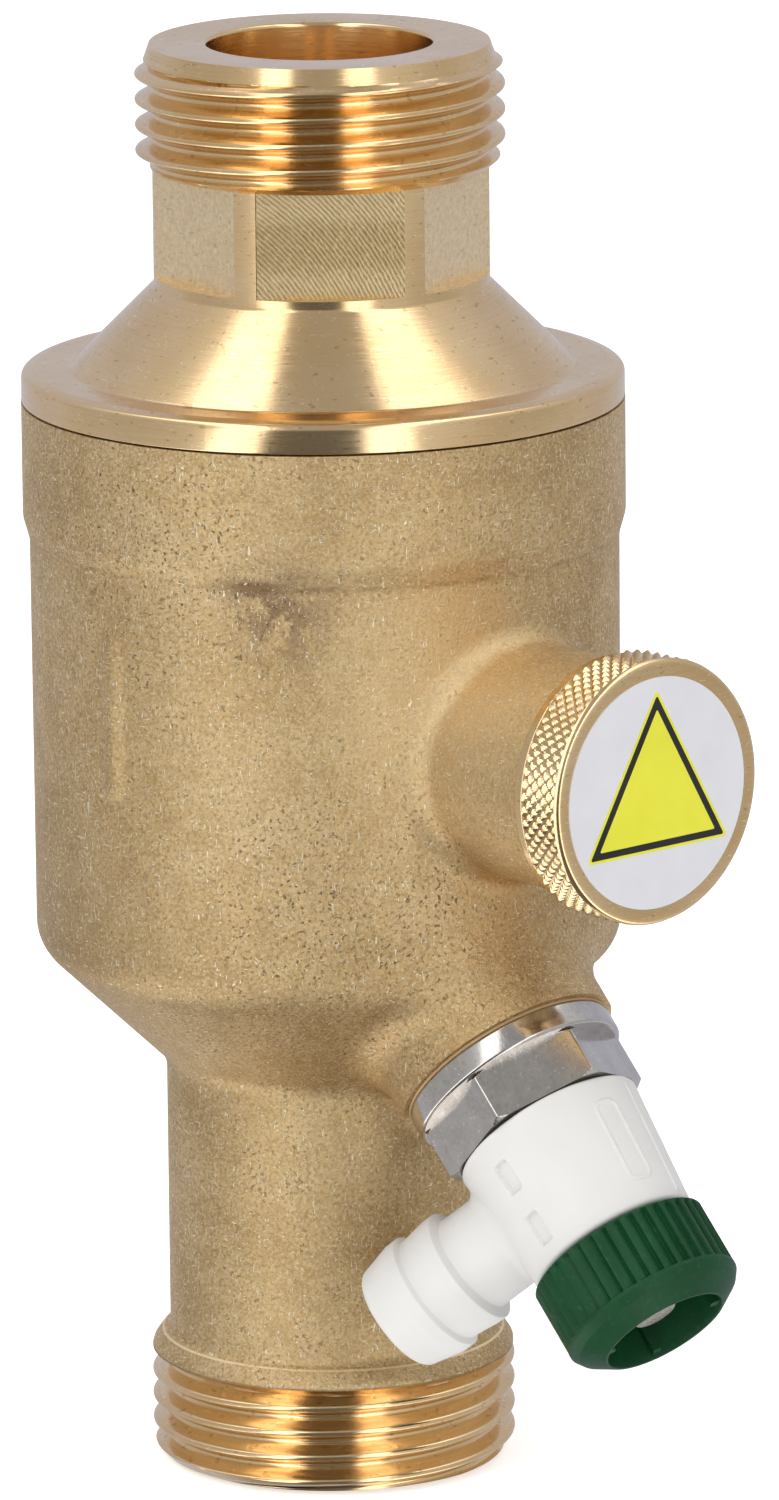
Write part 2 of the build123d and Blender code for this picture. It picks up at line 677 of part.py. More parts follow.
for (start, end, groove_r), name in zip(seal_grooves, ("swivel_seal_1", "swivel_seal_2")):
    ring(
        DRAIN_PROFILE, DRAIN_AXIS, groove_r, SWIVEL_BORE_R - SEAL_SQUEEZE_GAP,
        start + SEAL_GAP, end - SEAL_GAP, name, SWIVEL_SEAL_CORNER,
    )
ring(
    DRAIN_PROFILE, DRAIN_AXIS, RETAINER_GROOVE_R + GROOVE_GAP, RETAINER_R,
    RETAINER_START, RETAINER_END, "swivel_retainer",
)

# Valve disc: the carrier doesn't turn, so the stem's bead turns in its undercut
with BuildPart() as washer_carrier:
    with BuildSketch(DRAIN_PROFILE):
        profile(
            (0, CARRIER_START),
            (WASHER_BORE_R, CARRIER_START),
            (WASHER_BORE_R, WASHER_END),
            (WASHER_R, WASHER_END),
            (WASHER_R, WASHER_END + CARRIER_FLANGE),
            (CARRIER_HUB_R, WASHER_END + CARRIER_FLANGE),
            (CARRIER_HUB_R, CARRIER_END),
            (CARRIER_BORE_R, CARRIER_END),
            (CARRIER_BORE_R, CARRIER_UNDERCUT_END),
            (CARRIER_UNDERCUT_R, CARRIER_UNDERCUT_END),
            (CARRIER_UNDERCUT_R, CARRIER_BORE_START),
            (0, CARRIER_BORE_START),
        )
    revolve(axis=DRAIN_AXIS)
finish(washer_carrier, "washer_carrier")

ring(
    DRAIN_PROFILE, DRAIN_AXIS, WASHER_BORE_R, WASHER_R,
    SEAT_T, WASHER_END, "seat_washer",
)

# Stem: pin and bead, waist, guide with its seal groove, square and riveted head
with BuildPart() as valve_stem:
    with BuildSketch(DRAIN_PROFILE) as outline:
        profile(
            (0, CARRIER_BORE_START + CARRIER_GAP),
            (CARRIER_UNDERCUT_R - CARRIER_GAP, CARRIER_BORE_START + CARRIER_GAP),
            (CARRIER_UNDERCUT_R - CARRIER_GAP, CARRIER_UNDERCUT_END - CARRIER_GAP),
            (CARRIER_BORE_R - CARRIER_GAP, CARRIER_UNDERCUT_END - CARRIER_GAP),
            (CARRIER_BORE_R - CARRIER_GAP, CARRIER_END + CARRIER_GAP),
            (STEM_WAIST_R, CARRIER_END + CARRIER_GAP),
            (STEM_WAIST_R, STEM_GUIDE_START),
            (STEM_R, STEM_GUIDE_START),
            (STEM_R, STEM_SEAL_START),
            (STEM_SEAL_R, STEM_SEAL_START),
            (STEM_SEAL_R, STEM_SEAL_END),
            (STEM_R, STEM_SEAL_END),
            (STEM_R, STEM_SHOULDER),
            (0, STEM_SHOULDER),
        )
    revolve(axis=DRAIN_AXIS)
    with BuildSketch(across_drain(STEM_SHOULDER)):
        Rectangle(STEM_SQUARE, STEM_SQUARE, rotation=STEM_TURN)
    extrude(amount=STEM_HEAD_START - STEM_SHOULDER)
    with BuildSketch(across_drain(STEM_HEAD_START)):
        Circle(STEM_HEAD_R)
    extrude(amount=STEM_END - STEM_HEAD_START)
    chamfer(valve_stem.edges().sort_by(DRAIN_AXIS)[-1], STEM_HEAD_CHAMFER)
finish(valve_stem, "valve_stem")

ring(
    DRAIN_PROFILE, DRAIN_AXIS, STEM_SEAL_R, STEM_BORE_R - SEAL_SQUEEZE_GAP,
    STEM_SEAL_START + SEAL_GAP, STEM_SEAL_END - SEAL_GAP, "stem_seal_ring", STEM_SEAL_CORNER,
)

# Green knob: ribbed skirt over the neck, rounded rim, open mouth and a hub on the stem's square
with BuildPart() as drain_knob:
    with BuildSketch(DRAIN_PROFILE) as outline:
        profile(
            (0, KNOB_START),
            (KNOB_R, KNOB_START),
            (KNOB_R, KNOB_RIB_END),
            (KNOB_SHOULDER_R, KNOB_SHOULDER_T),
            (KNOB_LIP_R, KNOB_END),
            (0, KNOB_END),
        )
        fillet(corner(outline, KNOB_SHOULDER_R, KNOB_SHOULDER_T), KNOB_SHOULDER_FILLET)
    revolve(axis=DRAIN_AXIS)
    with BuildSketch(across_drain(KNOB_START)):
        with PolarLocations(KNOB_R, KNOB_RIBS):
            Rectangle(2 * KNOB_GROOVE_DEPTH, KNOB_GROOVE_WIDTH)
    extrude(amount=KNOB_RIB_END - KNOB_START, mode=Mode.SUBTRACT)
    with BuildSketch(DRAIN_PROFILE):
        profile(
            (0, KNOB_HUB_END),
            (KNOB_HUB_R, KNOB_HUB_END),
            (KNOB_HUB_R, KNOB_WEB_END),
            (KNOB_MOUTH_FLOOR_R, KNOB_WEB_END),
            (KNOB_MOUTH_R, KNOB_END),
            (0, KNOB_END),
        )
    revolve(axis=DRAIN_AXIS, mode=Mode.SUBTRACT)
    with BuildSketch(across_drain(KNOB_START)):
        Circle(KNOB_SKIRT_BORE_R)
    extrude(amount=KNOB_WEB_START - KNOB_START, mode=Mode.SUBTRACT)
    hub_square = STEM_SQUARE + 2 * STEM_SQUARE_GAP
    with BuildSketch(across_drain(KNOB_START)):
        Rectangle(hub_square, hub_square, rotation=STEM_TURN)
    extrude(amount=KNOB_END - KNOB_START, mode=Mode.SUBTRACT)
    with BuildSketch(across_drain(KNOB_WEB_END)):
        with PolarLocations(KNOB_MOUTH_R - INNER_RIB_DEPTH / 2, INNER_RIBS, start_angle=INNER_RIB_ANGLE):
            Rectangle(INNER_RIB_DEPTH, INNER_RIB_WIDTH)
    extrude(amount=INNER_RIB_END - KNOB_WEB_END)
finish(drain_knob, "drain_knob")
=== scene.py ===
"""Magnetic system filter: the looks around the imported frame.

Builder functions work in millimetres, in the frame's own axes, and meshes are stored in metres.
"""

import json
import math

import bmesh
import bpy
import numpy as np
import openvdb
from mathutils import Matrix, Vector


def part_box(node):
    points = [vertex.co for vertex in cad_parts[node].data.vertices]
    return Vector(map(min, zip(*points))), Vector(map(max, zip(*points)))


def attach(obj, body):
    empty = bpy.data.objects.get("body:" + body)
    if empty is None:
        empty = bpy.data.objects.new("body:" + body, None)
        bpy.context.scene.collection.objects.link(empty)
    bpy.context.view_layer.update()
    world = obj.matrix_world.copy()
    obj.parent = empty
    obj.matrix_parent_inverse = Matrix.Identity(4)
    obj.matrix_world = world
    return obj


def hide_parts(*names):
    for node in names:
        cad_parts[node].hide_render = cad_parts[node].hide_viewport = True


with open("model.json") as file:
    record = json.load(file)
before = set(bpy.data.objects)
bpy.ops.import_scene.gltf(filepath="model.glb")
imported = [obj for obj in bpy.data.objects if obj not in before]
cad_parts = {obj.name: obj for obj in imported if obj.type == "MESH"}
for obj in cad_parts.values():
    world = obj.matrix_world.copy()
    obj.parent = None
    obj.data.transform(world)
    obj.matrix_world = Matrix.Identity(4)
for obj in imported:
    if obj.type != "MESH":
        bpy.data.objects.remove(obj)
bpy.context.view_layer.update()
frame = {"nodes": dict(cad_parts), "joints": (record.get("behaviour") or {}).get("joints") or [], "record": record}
NODES = frame["nodes"]
MM = 0.001


def corners(node):
    """Lowest and highest corner of a CAD node, in millimetres."""
    low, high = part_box(node)
    return low / MM, high / MM


# ---- places read from the frame
BODY_HIGH = corners("filter_body")[1]
TOP_HIGH = corners("top_connector")[1]
CAP_LOW, CAP_HIGH = corners("magnet_cap")
LABEL_LOW, LABEL_HIGH = corners("cap_label")

SEAM_Z = BODY_HIGH.z
TOP_Z = TOP_HIGH.z
BAND_R = BODY_HIGH.y
FLANGE_R = TOP_HIGH.y
MAGNET_Z = (CAP_LOW.z + CAP_HIGH.z) / 2
CAP_R = CAP_HIGH.y
CAP_FACE = CAP_HIGH.x
LABEL_R = LABEL_HIGH.y

SWIVEL = next(j for j in frame["joints"] if j["name"] == "outlet_swivel")
DRAIN_DIR = Vector(SWIVEL["axis"]).normalized()
DRAIN_ORIGIN = Vector(SWIVEL["pos_m"]) / MM
DRAIN_ORIGIN = DRAIN_ORIGIN - DRAIN_DIR * (DRAIN_ORIGIN.x / DRAIN_DIR.x)

# ---- sizes, in millimetres
THREAD_R = 16.62
THREAD_PITCH = 2.309
THREAD_DEPTH = 1.479
BORE_R = 10.12
TUBE_R = 14.95
BODY_R = 26.65
BOSS_R = 10.6
BOSS_END = 38.0
DRAIN_BOSS_END = 34.4
LOWER_THREAD_TOP = 9.8

SPIN = 256
ROUND_STEPS = 6
MERGE = 0.002 * MM


# ---- mesh helpers
def axis_frame(origin, direction, side):
    """Matrix that puts local +Z along direction and local +X towards side, at origin."""
    z = Vector(direction).normalized()
    x = (Vector(side) - z * z.dot(Vector(side))).normalized()
    y = z.cross(x)
    matrix = Matrix((x, y, z)).transposed().to_4x4()
    matrix.translation = Vector(origin)
    return matrix


PIPE = Matrix.Identity(4)
MAGNET = axis_frame((0, 0, MAGNET_Z), (1, 0, 0), (0, 0, 1))
DRAIN = axis_frame(DRAIN_ORIGIN, DRAIN_DIR, (0, -1, 0))


def rounded(points, radii, steps=ROUND_STEPS):
    """The outline through (radius, height) points, with each corner that has a radius rounded."""
    outline = []
    count = len(points)
    for i, (point, radius) in enumerate(zip(points, radii)):
        corner = np.array(point, float)
        if not radius:
            outline.append(tuple(corner))
            continue
        before = np.array(points[i - 1], float) - corner
        after = np.array(points[(i + 1) % count], float) - corner
        before_length, after_length = np.linalg.norm(before), np.linalg.norm(after)
        before, after = before / before_length, after / after_length
        half = math.acos(max(-1, min(1, float(before @ after)))) / 2
        reach = min(radius / math.tan(half), 0.49 * before_length, 0.49 * after_length)
        radius = reach * math.tan(half)
        bisector = (before + after) / np.linalg.norm(before + after)
        centre = corner + bisector * radius / math.sin(half)
        start = corner + before * reach - centre
        end = corner + after * reach - centre
        turn = math.atan2(start[0] * end[1] - start[1] * end[0], start @ end)
        for k in range(steps + 1):
            a = turn * k / steps
            spun = (
                start[0] * math.cos(a) - start[1] * math.sin(a),
                start[0] * math.sin(a) + start[1] * math.cos(a),
            )
            outline.append((centre[0] + spun[0], centre[1] + spun[1]))
    return outline


def even_angles(count):
    """Evenly spaced angles of a whole turn, in radians."""
    return np.arange(count) * 2 * math.pi / count


def from_nearest(angle, first, count):
    """Angle from the nearest of count evenly spaced directions, one of which is first."""
    step = 2 * math.pi / count
    return (angle - first + step / 2) % step - step / 2


def spun_points(outline, angles, shape=None):
    """Grid of points of an outline turned about local Z; shape(r, z, angle) may move them."""
    r = np.array([p[0] for p in outline], float)[:, None]
    z = np.array([p[1] for p in outline], float)[:, None]
    a = np.array(angles, float)[None, :]
    r, z, a = np.broadcast_arrays(r, z, a)
    if shape:
        r, z = shape(r.copy(), z.copy(), a)
    return np.stack([r * np.cos(a), r * np.sin(a), z], axis=-1)


def grid_faces(rows, columns, close_columns=True):
    """Quads of a grid of points, with its last row joined to its first."""
    faces = []
    for i in range(rows):
        for j in range(columns if close_columns else columns - 1):
            i2, j2 = (i + 1) % rows, (j + 1) % columns
            faces.append((i * columns + j, i * columns + j2, i2 * columns + j2, i2 * columns + j))
    return faces


def build(name, points, faces, matrix, materials, smooth_angle=30):
    """A mesh object from points in millimetres, placed by matrix, with doubles merged."""
    mesh = bpy.data.meshes.new(name)
    mesh.from_pydata([tuple(p) for p in points], [], faces)
    mesh.transform(Matrix.Scale(MM, 4) @ matrix)
    bm = bmesh.new()
    bm.from_mesh(mesh)
    bmesh.ops.remove_doubles(bm, verts=bm.verts, dist=MERGE)
    bmesh.ops.dissolve_degenerate(bm, edges=bm.edges, dist=MERGE)
    bmesh.ops.recalc_face_normals(bm, faces=bm.faces)
    bm.to_mesh(mesh)
    bm.free()
    return object_of(mesh, materials, smooth_angle)


def turned(name, outline, matrix, material, steps=SPIN, shape=None, smooth_angle=30):
    """A closed outline turned about an axis."""
    points = spun_points(outline, even_angles(steps), shape).reshape(-1, 3)
    return build(name, points, grid_faces(len(outline), steps), matrix, [material], smooth_angle)


def linked(name, data):
    """An object of some data, in the scene."""
    obj = bpy.data.objects.new(name, data)
    bpy.context.scene.collection.objects.link(obj)
    return obj


def object_of(mesh, materials, smooth_angle=30):
    """An object of a mesh, smooth but for edges sharper than an angle in degrees."""
    obj = linked(mesh.name, mesh)
    for material in materials:
        mesh.materials.append(material)
    mesh.shade_smooth()
    mesh.set_sharp_from_angle(angle=math.radians(smooth_angle))
    return obj


def place(obj, body, slot, *nodes):
    """Ride on a body and stand for CAD nodes; the slot argument is not used."""
    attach(obj, body)
    if nodes:
        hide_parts(*nodes)
    return obj


# ---- cast body
CASTING_CELL = 0.4
FILLET_DRAIN = 2.6
FILLET_MAGNET = 2.0
CASTING_OVERRUN = 1.5
MAGNET_ROOT, DRAIN_ROOT = 15, 12
PAST_MOUTH = 60
MAGNET_CUT_R, DRAIN_CUT_R = 16, 13
MAGNET_BORE_R = 8.65
DRAIN_PORT_R = 6.0
DRAIN_BORE_R = 8.35
DRAIN_BORE_START = 25
RIB_ANGLE = math.radians(-86.5)
RIB_HEIGHT = 0.28
RIB_R = 1.3
RIB_FOOT, RIB_TOP = 66, 80
RIB_FILLET = 0.6
RIB_AT = BODY_R + RIB_HEIGHT - RIB_R
RIB = Matrix.Translation((RIB_AT * math.cos(RIB_ANGLE), RIB_AT * math.sin(RIB_ANGLE), 0))


def casting_outline():
    """Outer outline of the casting above the lower thread, overrunning both machined ends."""
    points = [
        (0, LOWER_THREAD_TOP - CASTING_OVERRUN),
        (THREAD_R - 0.1, LOWER_THREAD_TOP - CASTING_OVERRUN),
        (THREAD_R - 0.1, LOWER_THREAD_TOP + 0.5),
        (THREAD_R - 0.9, LOWER_THREAD_TOP + 1.6),
        (TUBE_R, LOWER_THREAD_TOP + 2.1),
        (TUBE_R, 37.4),
        (BODY_R - 0.05, 48.6),
        (BODY_R, 85.8),
        (BAND_R, 87.9),
        (BAND_R, SEAM_Z + CASTING_OVERRUN),
        (0, SEAM_Z + CASTING_OVERRUN),
    ]
    radii = [0, 0, 0.7, 0.5, 0.5, 2.4, 4.2, 1.6, 1.4, 0, 0]
    return rounded(points, radii)


def hollow_outline():
    """Outline of the flow path inside the casting."""
    points = [
        (0, 0),
        (BORE_R, 0),
        (BORE_R, 36.0),
        (11.4, 36.0),
        (11.4, 38.0),
        (23.4, 50.0),
        (23.4, 87.5),
        (24.3, 87.5),
        (24.3, SEAM_Z + 4),
        (0, SEAM_Z + 4),
    ]
    return rounded(points, [0, 0, 0, 0, 0, 4, 0, 0, 0, 0])


def outline_distance(outline, r, z):
    """Signed distance of points (r, z) to a closed outline, negative inside."""
    inside = np.zeros(r.shape, bool)
    nearest = np.full(r.shape, 1e9)
    for (x1, y1), (x2, y2) in zip(outline, outline[1:] + outline[:1]):
        dx, dy = x2 - x1, y2 - y1
        length = dx * dx + dy * dy
        if length < 1e-12:
            continue
        t = np.clip(((r - x1) * dx + (z - y1) * dy) / length, 0, 1)
        nearest = np.minimum(nearest, (r - x1 - t * dx) ** 2 + (z - y1 - t * dy) ** 2)
        crosses = (y1 > z) != (y2 > z)
        if abs(dy) > 1e-12:
            inside ^= crosses & (r < x1 + (z - y1) * dx / dy)
    return np.where(inside, -1, 1) * np.sqrt(nearest)


class Spun:
    """Signed distance to an outline turned about Z, looked up in a fine table."""

    STEP = 0.1

    def __init__(self, outline):
        mirrored = outline + [(-x, z) for x, z in reversed(outline)]
        self.low = -4.0
        r = np.arange(0, 34, self.STEP)
        z = np.arange(self.low, 106, self.STEP)
        grid_r, grid_z = np.meshgrid(r, z, indexing="ij")
        self.table = outline_distance(mirrored, grid_r, grid_z)

    def __call__(self, p):
        r = np.hypot(p[..., 0], p[..., 1]) / self.STEP
        z = (p[..., 2] - self.low) / self.STEP
        i = np.clip(r.astype(int), 0, self.table.shape[0] - 2)
        k = np.clip(z.astype(int), 0, self.table.shape[1] - 2)
        u, v = np.clip(r - i, 0, 1), np.clip(z - k, 0, 1)
        t = self.table
        low = t[i, k] * (1 - u) + t[i + 1, k] * u
        high = t[i, k + 1] * (1 - u) + t[i + 1, k + 1] * u
        return low * (1 - v) + high * v


def rod_distance(p, matrix, radius, start, end):
    """Signed distance to a round rod along the matrix's Z axis."""
    m = np.array(matrix.inverted())
    q = p @ m[:3, :3].T + m[:3, 3]
    across = np.hypot(q[..., 0], q[..., 1]) - radius
    along = np.maximum(start - q[..., 2], q[..., 2] - end)
    outside = np.hypot(np.maximum(across, 0), np.maximum(along, 0))
    return outside + np.minimum(np.maximum(across, along), 0)


def blended(a, b, fillet):
    """Union of two distances with a round fillet between them."""
    u, v = np.maximum(fillet - a, 0), np.maximum(fillet - b, 0)
    return np.maximum(fillet, np.minimum(a, b)) - np.hypot(u, v)


OUTER = Spun(casting_outline())
INNER = Spun(hollow_outline())


def casting_distance(p):
    """Signed distance to the whole casting, in millimetres."""
    d = OUTER(p)
    drain = rod_distance(p, DRAIN, BOSS_R, DRAIN_ROOT, DRAIN_BOSS_END + CASTING_OVERRUN)
    magnet = rod_distance(p, MAGNET, BOSS_R, MAGNET_ROOT, BOSS_END + CASTING_OVERRUN)
    d = blended(d, drain, FILLET_DRAIN)
    d = blended(d, magnet, FILLET_MAGNET)
    d = blended(d, rod_distance(p, RIB, RIB_R, RIB_FOOT, RIB_TOP), RIB_FILLET)
    d = np.maximum(d, -INNER(p))
    d = np.maximum(d, -rod_distance(p, MAGNET, MAGNET_BORE_R, MAGNET_ROOT, PAST_MOUTH))
    d = np.maximum(d, -rod_distance(p, DRAIN, DRAIN_PORT_R, DRAIN_ROOT, PAST_MOUTH))
    return np.maximum(d, -rod_distance(p, DRAIN, DRAIN_BORE_R, DRAIN_BORE_START, PAST_MOUTH))


def casting_mesh_points():
    """Points and quads of the casting, meshed on a grid and then moved on to the exact surface."""
    low = np.array([-29.0, -29.0, LOWER_THREAD_TOP - 3])
    high = np.array([BOSS_END + 3, 29.0, SEAM_Z + 3])
    counts = np.ceil((high - low) / CASTING_CELL).astype(int)
    band = 3 * CASTING_CELL
    field = np.empty(counts, np.float32)
    y = low[1] + np.arange(counts[1]) * CASTING_CELL
    z = low[2] + np.arange(counts[2]) * CASTING_CELL
    for i in range(counts[0]):
        x = low[0] + i * CASTING_CELL
        p = np.stack(np.broadcast_arrays(x, y[:, None], z[None, :]), axis=-1)
        field[i] = np.clip(casting_distance(p), -band, band)
    grid = openvdb.FloatGrid(background=float(band))
    grid.copyFromArray(field)
    points, _, quads = grid.convertToPolygons(isovalue=0.0, adaptivity=0)
    points = points.astype(float) * CASTING_CELL + low
    probe = 0.05
    for _ in range(3):
        d = casting_distance(points)
        slope = np.stack(
            [
                casting_distance(points + probe * e) - casting_distance(points - probe * e)
                for e in np.eye(3)
            ],
            axis=-1,
        )
        slope /= np.maximum(np.linalg.norm(slope, axis=-1, keepdims=True), 1e-6)
        points -= slope * np.clip(d, -0.2, 0.2)[:, None]
    return points, quads


def cut_flat(bm, matrix, height, near_axis=None):
    """Cut the mesh square to the matrix's Z axis, drop what lies beyond and close the cut."""
    origin = matrix @ Vector((0, 0, height))
    normal = (matrix.to_3x3() @ Vector((0, 0, 1))).normalized()
    axis_point, axis_dir = matrix.translation, normal

    def near(point):
        offset = point - axis_point
        across = (offset - axis_dir * offset.dot(axis_dir)).length
        return near_axis is None or (across < near_axis and offset.dot(axis_dir) > 0)

    faces = [f for f in bm.faces if near(f.calc_center_median())]
    edges = list({e for f in faces for e in f.edges})
    geom = faces + edges + list({v for f in faces for v in f.verts})
    bmesh.ops.bisect_plane(bm, geom=geom, dist=1e-5, plane_co=origin, plane_no=normal)
    beyond = [
        f for f in bm.faces
        if near(f.calc_center_median()) and (f.calc_center_median() - origin).dot(normal) > 1e-4
    ]
    bmesh.ops.delete(bm, geom=beyond, context="FACES")

    def on_cut(vert):
        return abs((vert.co - origin).dot(normal)) < 1e-3 and near(vert.co)

    rim = [e for e in bm.edges if e.is_boundary and all(on_cut(v) for v in e.verts)]
    bmesh.ops.bridge_loops(bm, edges=rim)


def make_casting(material):
    """The cast body above the lower thread, with its machined ends cut sharp."""
    points, quads = casting_mesh_points()
    mesh = bpy.data.meshes.new("body_casting")
    mesh.from_pydata(points.tolist(), [], quads.tolist())
    bm = bmesh.new()
    bm.from_mesh(mesh)
    downwards = axis_frame((0, 0, LOWER_THREAD_TOP), (0, 0, -1), (1, 0, 0))
    cut_flat(bm, PIPE, SEAM_Z)
    cut_flat(bm, downwards, 0)
    cut_flat(bm, MAGNET, BOSS_END, MAGNET_CUT_R)
    cut_flat(bm, DRAIN, DRAIN_BOSS_END, DRAIN_CUT_R)
    bmesh.ops.recalc_face_normals(bm, faces=bm.faces)
    bmesh.ops.scale(bm, vec=(MM, MM, MM), verts=bm.verts)
    bm.to_mesh(mesh)
    bm.free()
    return object_of(mesh, [material], 40)


# ---- threads
THREAD_ROWS = 22
CREST_ROUND = 0.317
FLANK = math.radians(27.5)
LOWER_CREST_Z = 3.8
UPPER_CREST_Z = 121.9
RUN_OUT_R = THREAD_R - 0.1
RUN_OUT_SLOPE = 1.6
LOWER_LEAD_IN_R = 15.5


def thread_radius(offset):
    """Radius of the pipe thread's form at a distance along the axis from a crest."""
    u = np.abs((offset / THREAD_PITCH + 0.5) % 1 - 0.5) * THREAD_PITCH
    middle = THREAD_R - THREAD_DEPTH / 2
    flank = middle + (THREAD_PITCH / 4 - u) / math.tan(FLANK)
    reach = CREST_ROUND * math.cos(FLANK)
    crest = THREAD_R - CREST_ROUND + np.sqrt(np.maximum(CREST_ROUND**2 - u**2, 0))
    w = THREAD_PITCH / 2 - u
    root = THREAD_R - THREAD_DEPTH + CREST_ROUND - np.sqrt(np.maximum(CREST_ROUND**2 - w**2, 0))
    return np.where(u < reach, crest, np.where(w < reach, root, flank))


def threaded(name, before, low, high, limits, after, materials, angles, shape=None, phase=0.0):
    """A turned solid with a helical pipe thread between two heights.

    before and after are the outline's points below and above the thread, and limits(z) gives the
    smallest and the largest radius that the thread may have at a height.
    """
    angles = np.append(angles, 2 * math.pi)
    rows = np.arange(low - THREAD_PITCH, high + 1e-6, THREAD_PITCH / THREAD_ROWS)
    lead = THREAD_PITCH * angles[None, :] / (2 * math.pi)
    z = np.clip(rows[:, None] + lead, low, high)
    floor, ceiling = limits(z)
    r = np.minimum(np.maximum(thread_radius(z - lead - phase), floor), ceiling)
    helix = np.stack([r * np.cos(angles), r * np.sin(angles), z], axis=-1)
    grids = [spun_points(before, angles, shape), helix, spun_points(after, angles, shape)]
    points = np.concatenate(grids)
    faces = grid_faces(points.shape[0], points.shape[1], close_columns=False)
    return build(name, points.reshape(-1, 3), faces, PIPE, materials, 20)


def make_lower_thread(material):
    """The lower pipe thread, from the end face up to the cast shoulder."""
    before = [(BORE_R, LOWER_THREAD_TOP), (BORE_R, 0.35), (BORE_R + 0.35, 0), (15.2, 0)]

    def limits(z):
        run_out = RUN_OUT_R - (LOWER_THREAD_TOP - z) * RUN_OUT_SLOPE
        return run_out, np.minimum(THREAD_R, LOWER_LEAD_IN_R + z)

    after = [(RUN_OUT_R, LOWER_THREAD_TOP)]
    return threaded(
        "lower_thread", before, 0.0, LOWER_THREAD_TOP, limits, after, [material], even_angles(SPIN),
        phase=LOWER_CREST_Z,
    )


NECK_R = 15.13
NECK_Z = 108.95
HEX_FOOT = 109.8
UPPER_THREAD_FOOT = 119.4
HEX_FLAT_R = 13.6
HEX_TURN = math.radians(-37.55)
CONE_FOOT_R = 22.8
NECK_SLOPE = 1.2
LEAD_IN_R = 15.3
LEAD_IN_SLOPE = 0.36
LEAD_IN_LENGTH = 1.5
LEAD_OUT_SLOPES = (2.5, 1.5)
FLANGE_TOP = TOP_Z - 29.4


def flat_radius(r, angle):
    """Radius of a round neck of radius r cut by six flats."""
    return np.minimum(r, HEX_FLAT_R / np.cos(from_nearest(angle, HEX_TURN, 6)))


def make_connector(material):
    """The machined top connector with its flange, cone, spanner flats and pipe thread."""
    inside = [
        (BORE_R, 106.8),
        (21.9, 95.0),
        (21.9, 88.2),
        (22.1, 88.0),
        (24.0, 88.0),
        (24.25, 88.25),
        (24.25, 95.9),
        (22.9, 95.9),
        (22.9, SEAM_Z + 0.15),
    ]
    flange = rounded(
        [
            (22.9, SEAM_Z + 0.15),
            (FLANGE_R, SEAM_Z + 0.15),
            (FLANGE_R, FLANGE_TOP - 0.3),
            (FLANGE_R - 1.3, FLANGE_TOP),
            (CONE_FOOT_R, FLANGE_TOP),
            (NECK_R, NECK_Z),
            (NECK_R, HEX_FOOT),
        ],
        [0, 0.12, 0.6, 0.35, 0.5, 0.5, 0],
    )[1:-1]
    neck = [
        (NECK_R, HEX_FOOT),
        (NECK_R, HEX_FOOT + 1e-4),
        (NECK_R, UPPER_THREAD_FOOT - 1e-4),
        (NECK_R, UPPER_THREAD_FOOT),
    ]
    top = rounded([(15.15, TOP_Z), (BORE_R, TOP_Z), (BORE_R, 106.8)], [0, 0.35, 0])[:-1]

    def flats(r, z, angle):
        on_neck = (z > HEX_FOOT + 5e-5) & (z < UPPER_THREAD_FOOT - 5e-5) & (r > 12)
        return np.where(on_neck, flat_radius(r, angle), r), z

    def limits(z):
        foot = NECK_R + (z - UPPER_THREAD_FOOT) * NECK_SLOPE
        lead_in = LEAD_IN_R + (TOP_Z - z) * LEAD_IN_SLOPE
        below = np.maximum(TOP_Z - LEAD_IN_LENGTH - z, 0)
        ceiling = lead_in + below * LEAD_OUT_SLOPES[1]
        return lead_in - below * LEAD_OUT_SLOPES[0], np.minimum(np.minimum(THREAD_R, foot), ceiling)

    half = math.acos(HEX_FLAT_R / NECK_R)
    edges = [HEX_TURN + k * math.pi / 3 + s * half for k in range(6) for s in (-1, 1)]
    angles = np.unique(np.concatenate([even_angles(SPIN), np.mod(edges, 2 * math.pi)]))
    before = inside + flange + neck
    materials = [material, milled_brass(), sanded_brass()]
    connector = threaded(
        "connector_turned", before, UPPER_THREAD_FOOT, TOP_Z, limits, top, materials, angles, flats,
        UPPER_CREST_Z,
    )
    for face in connector.data.polygons:
        x, y, z = face.center / MM
        if HEX_FOOT < z < UPPER_THREAD_FOOT and 12 < math.hypot(x, y) < NECK_R - 0.03:
            turn = math.degrees(math.atan2(y, x) - HEX_TURN) % 360
            face.material_index = 1 if turn < 30 or turn > 330 else 2
    return connector


# ---- magnet cap and label
KNURL_START = 39.75
KNURL_END = CAP_FACE - 0.55
KNURL_COUNT = 60
KNURL_DEPTH = 0.34
KNURL_CELLS = 8


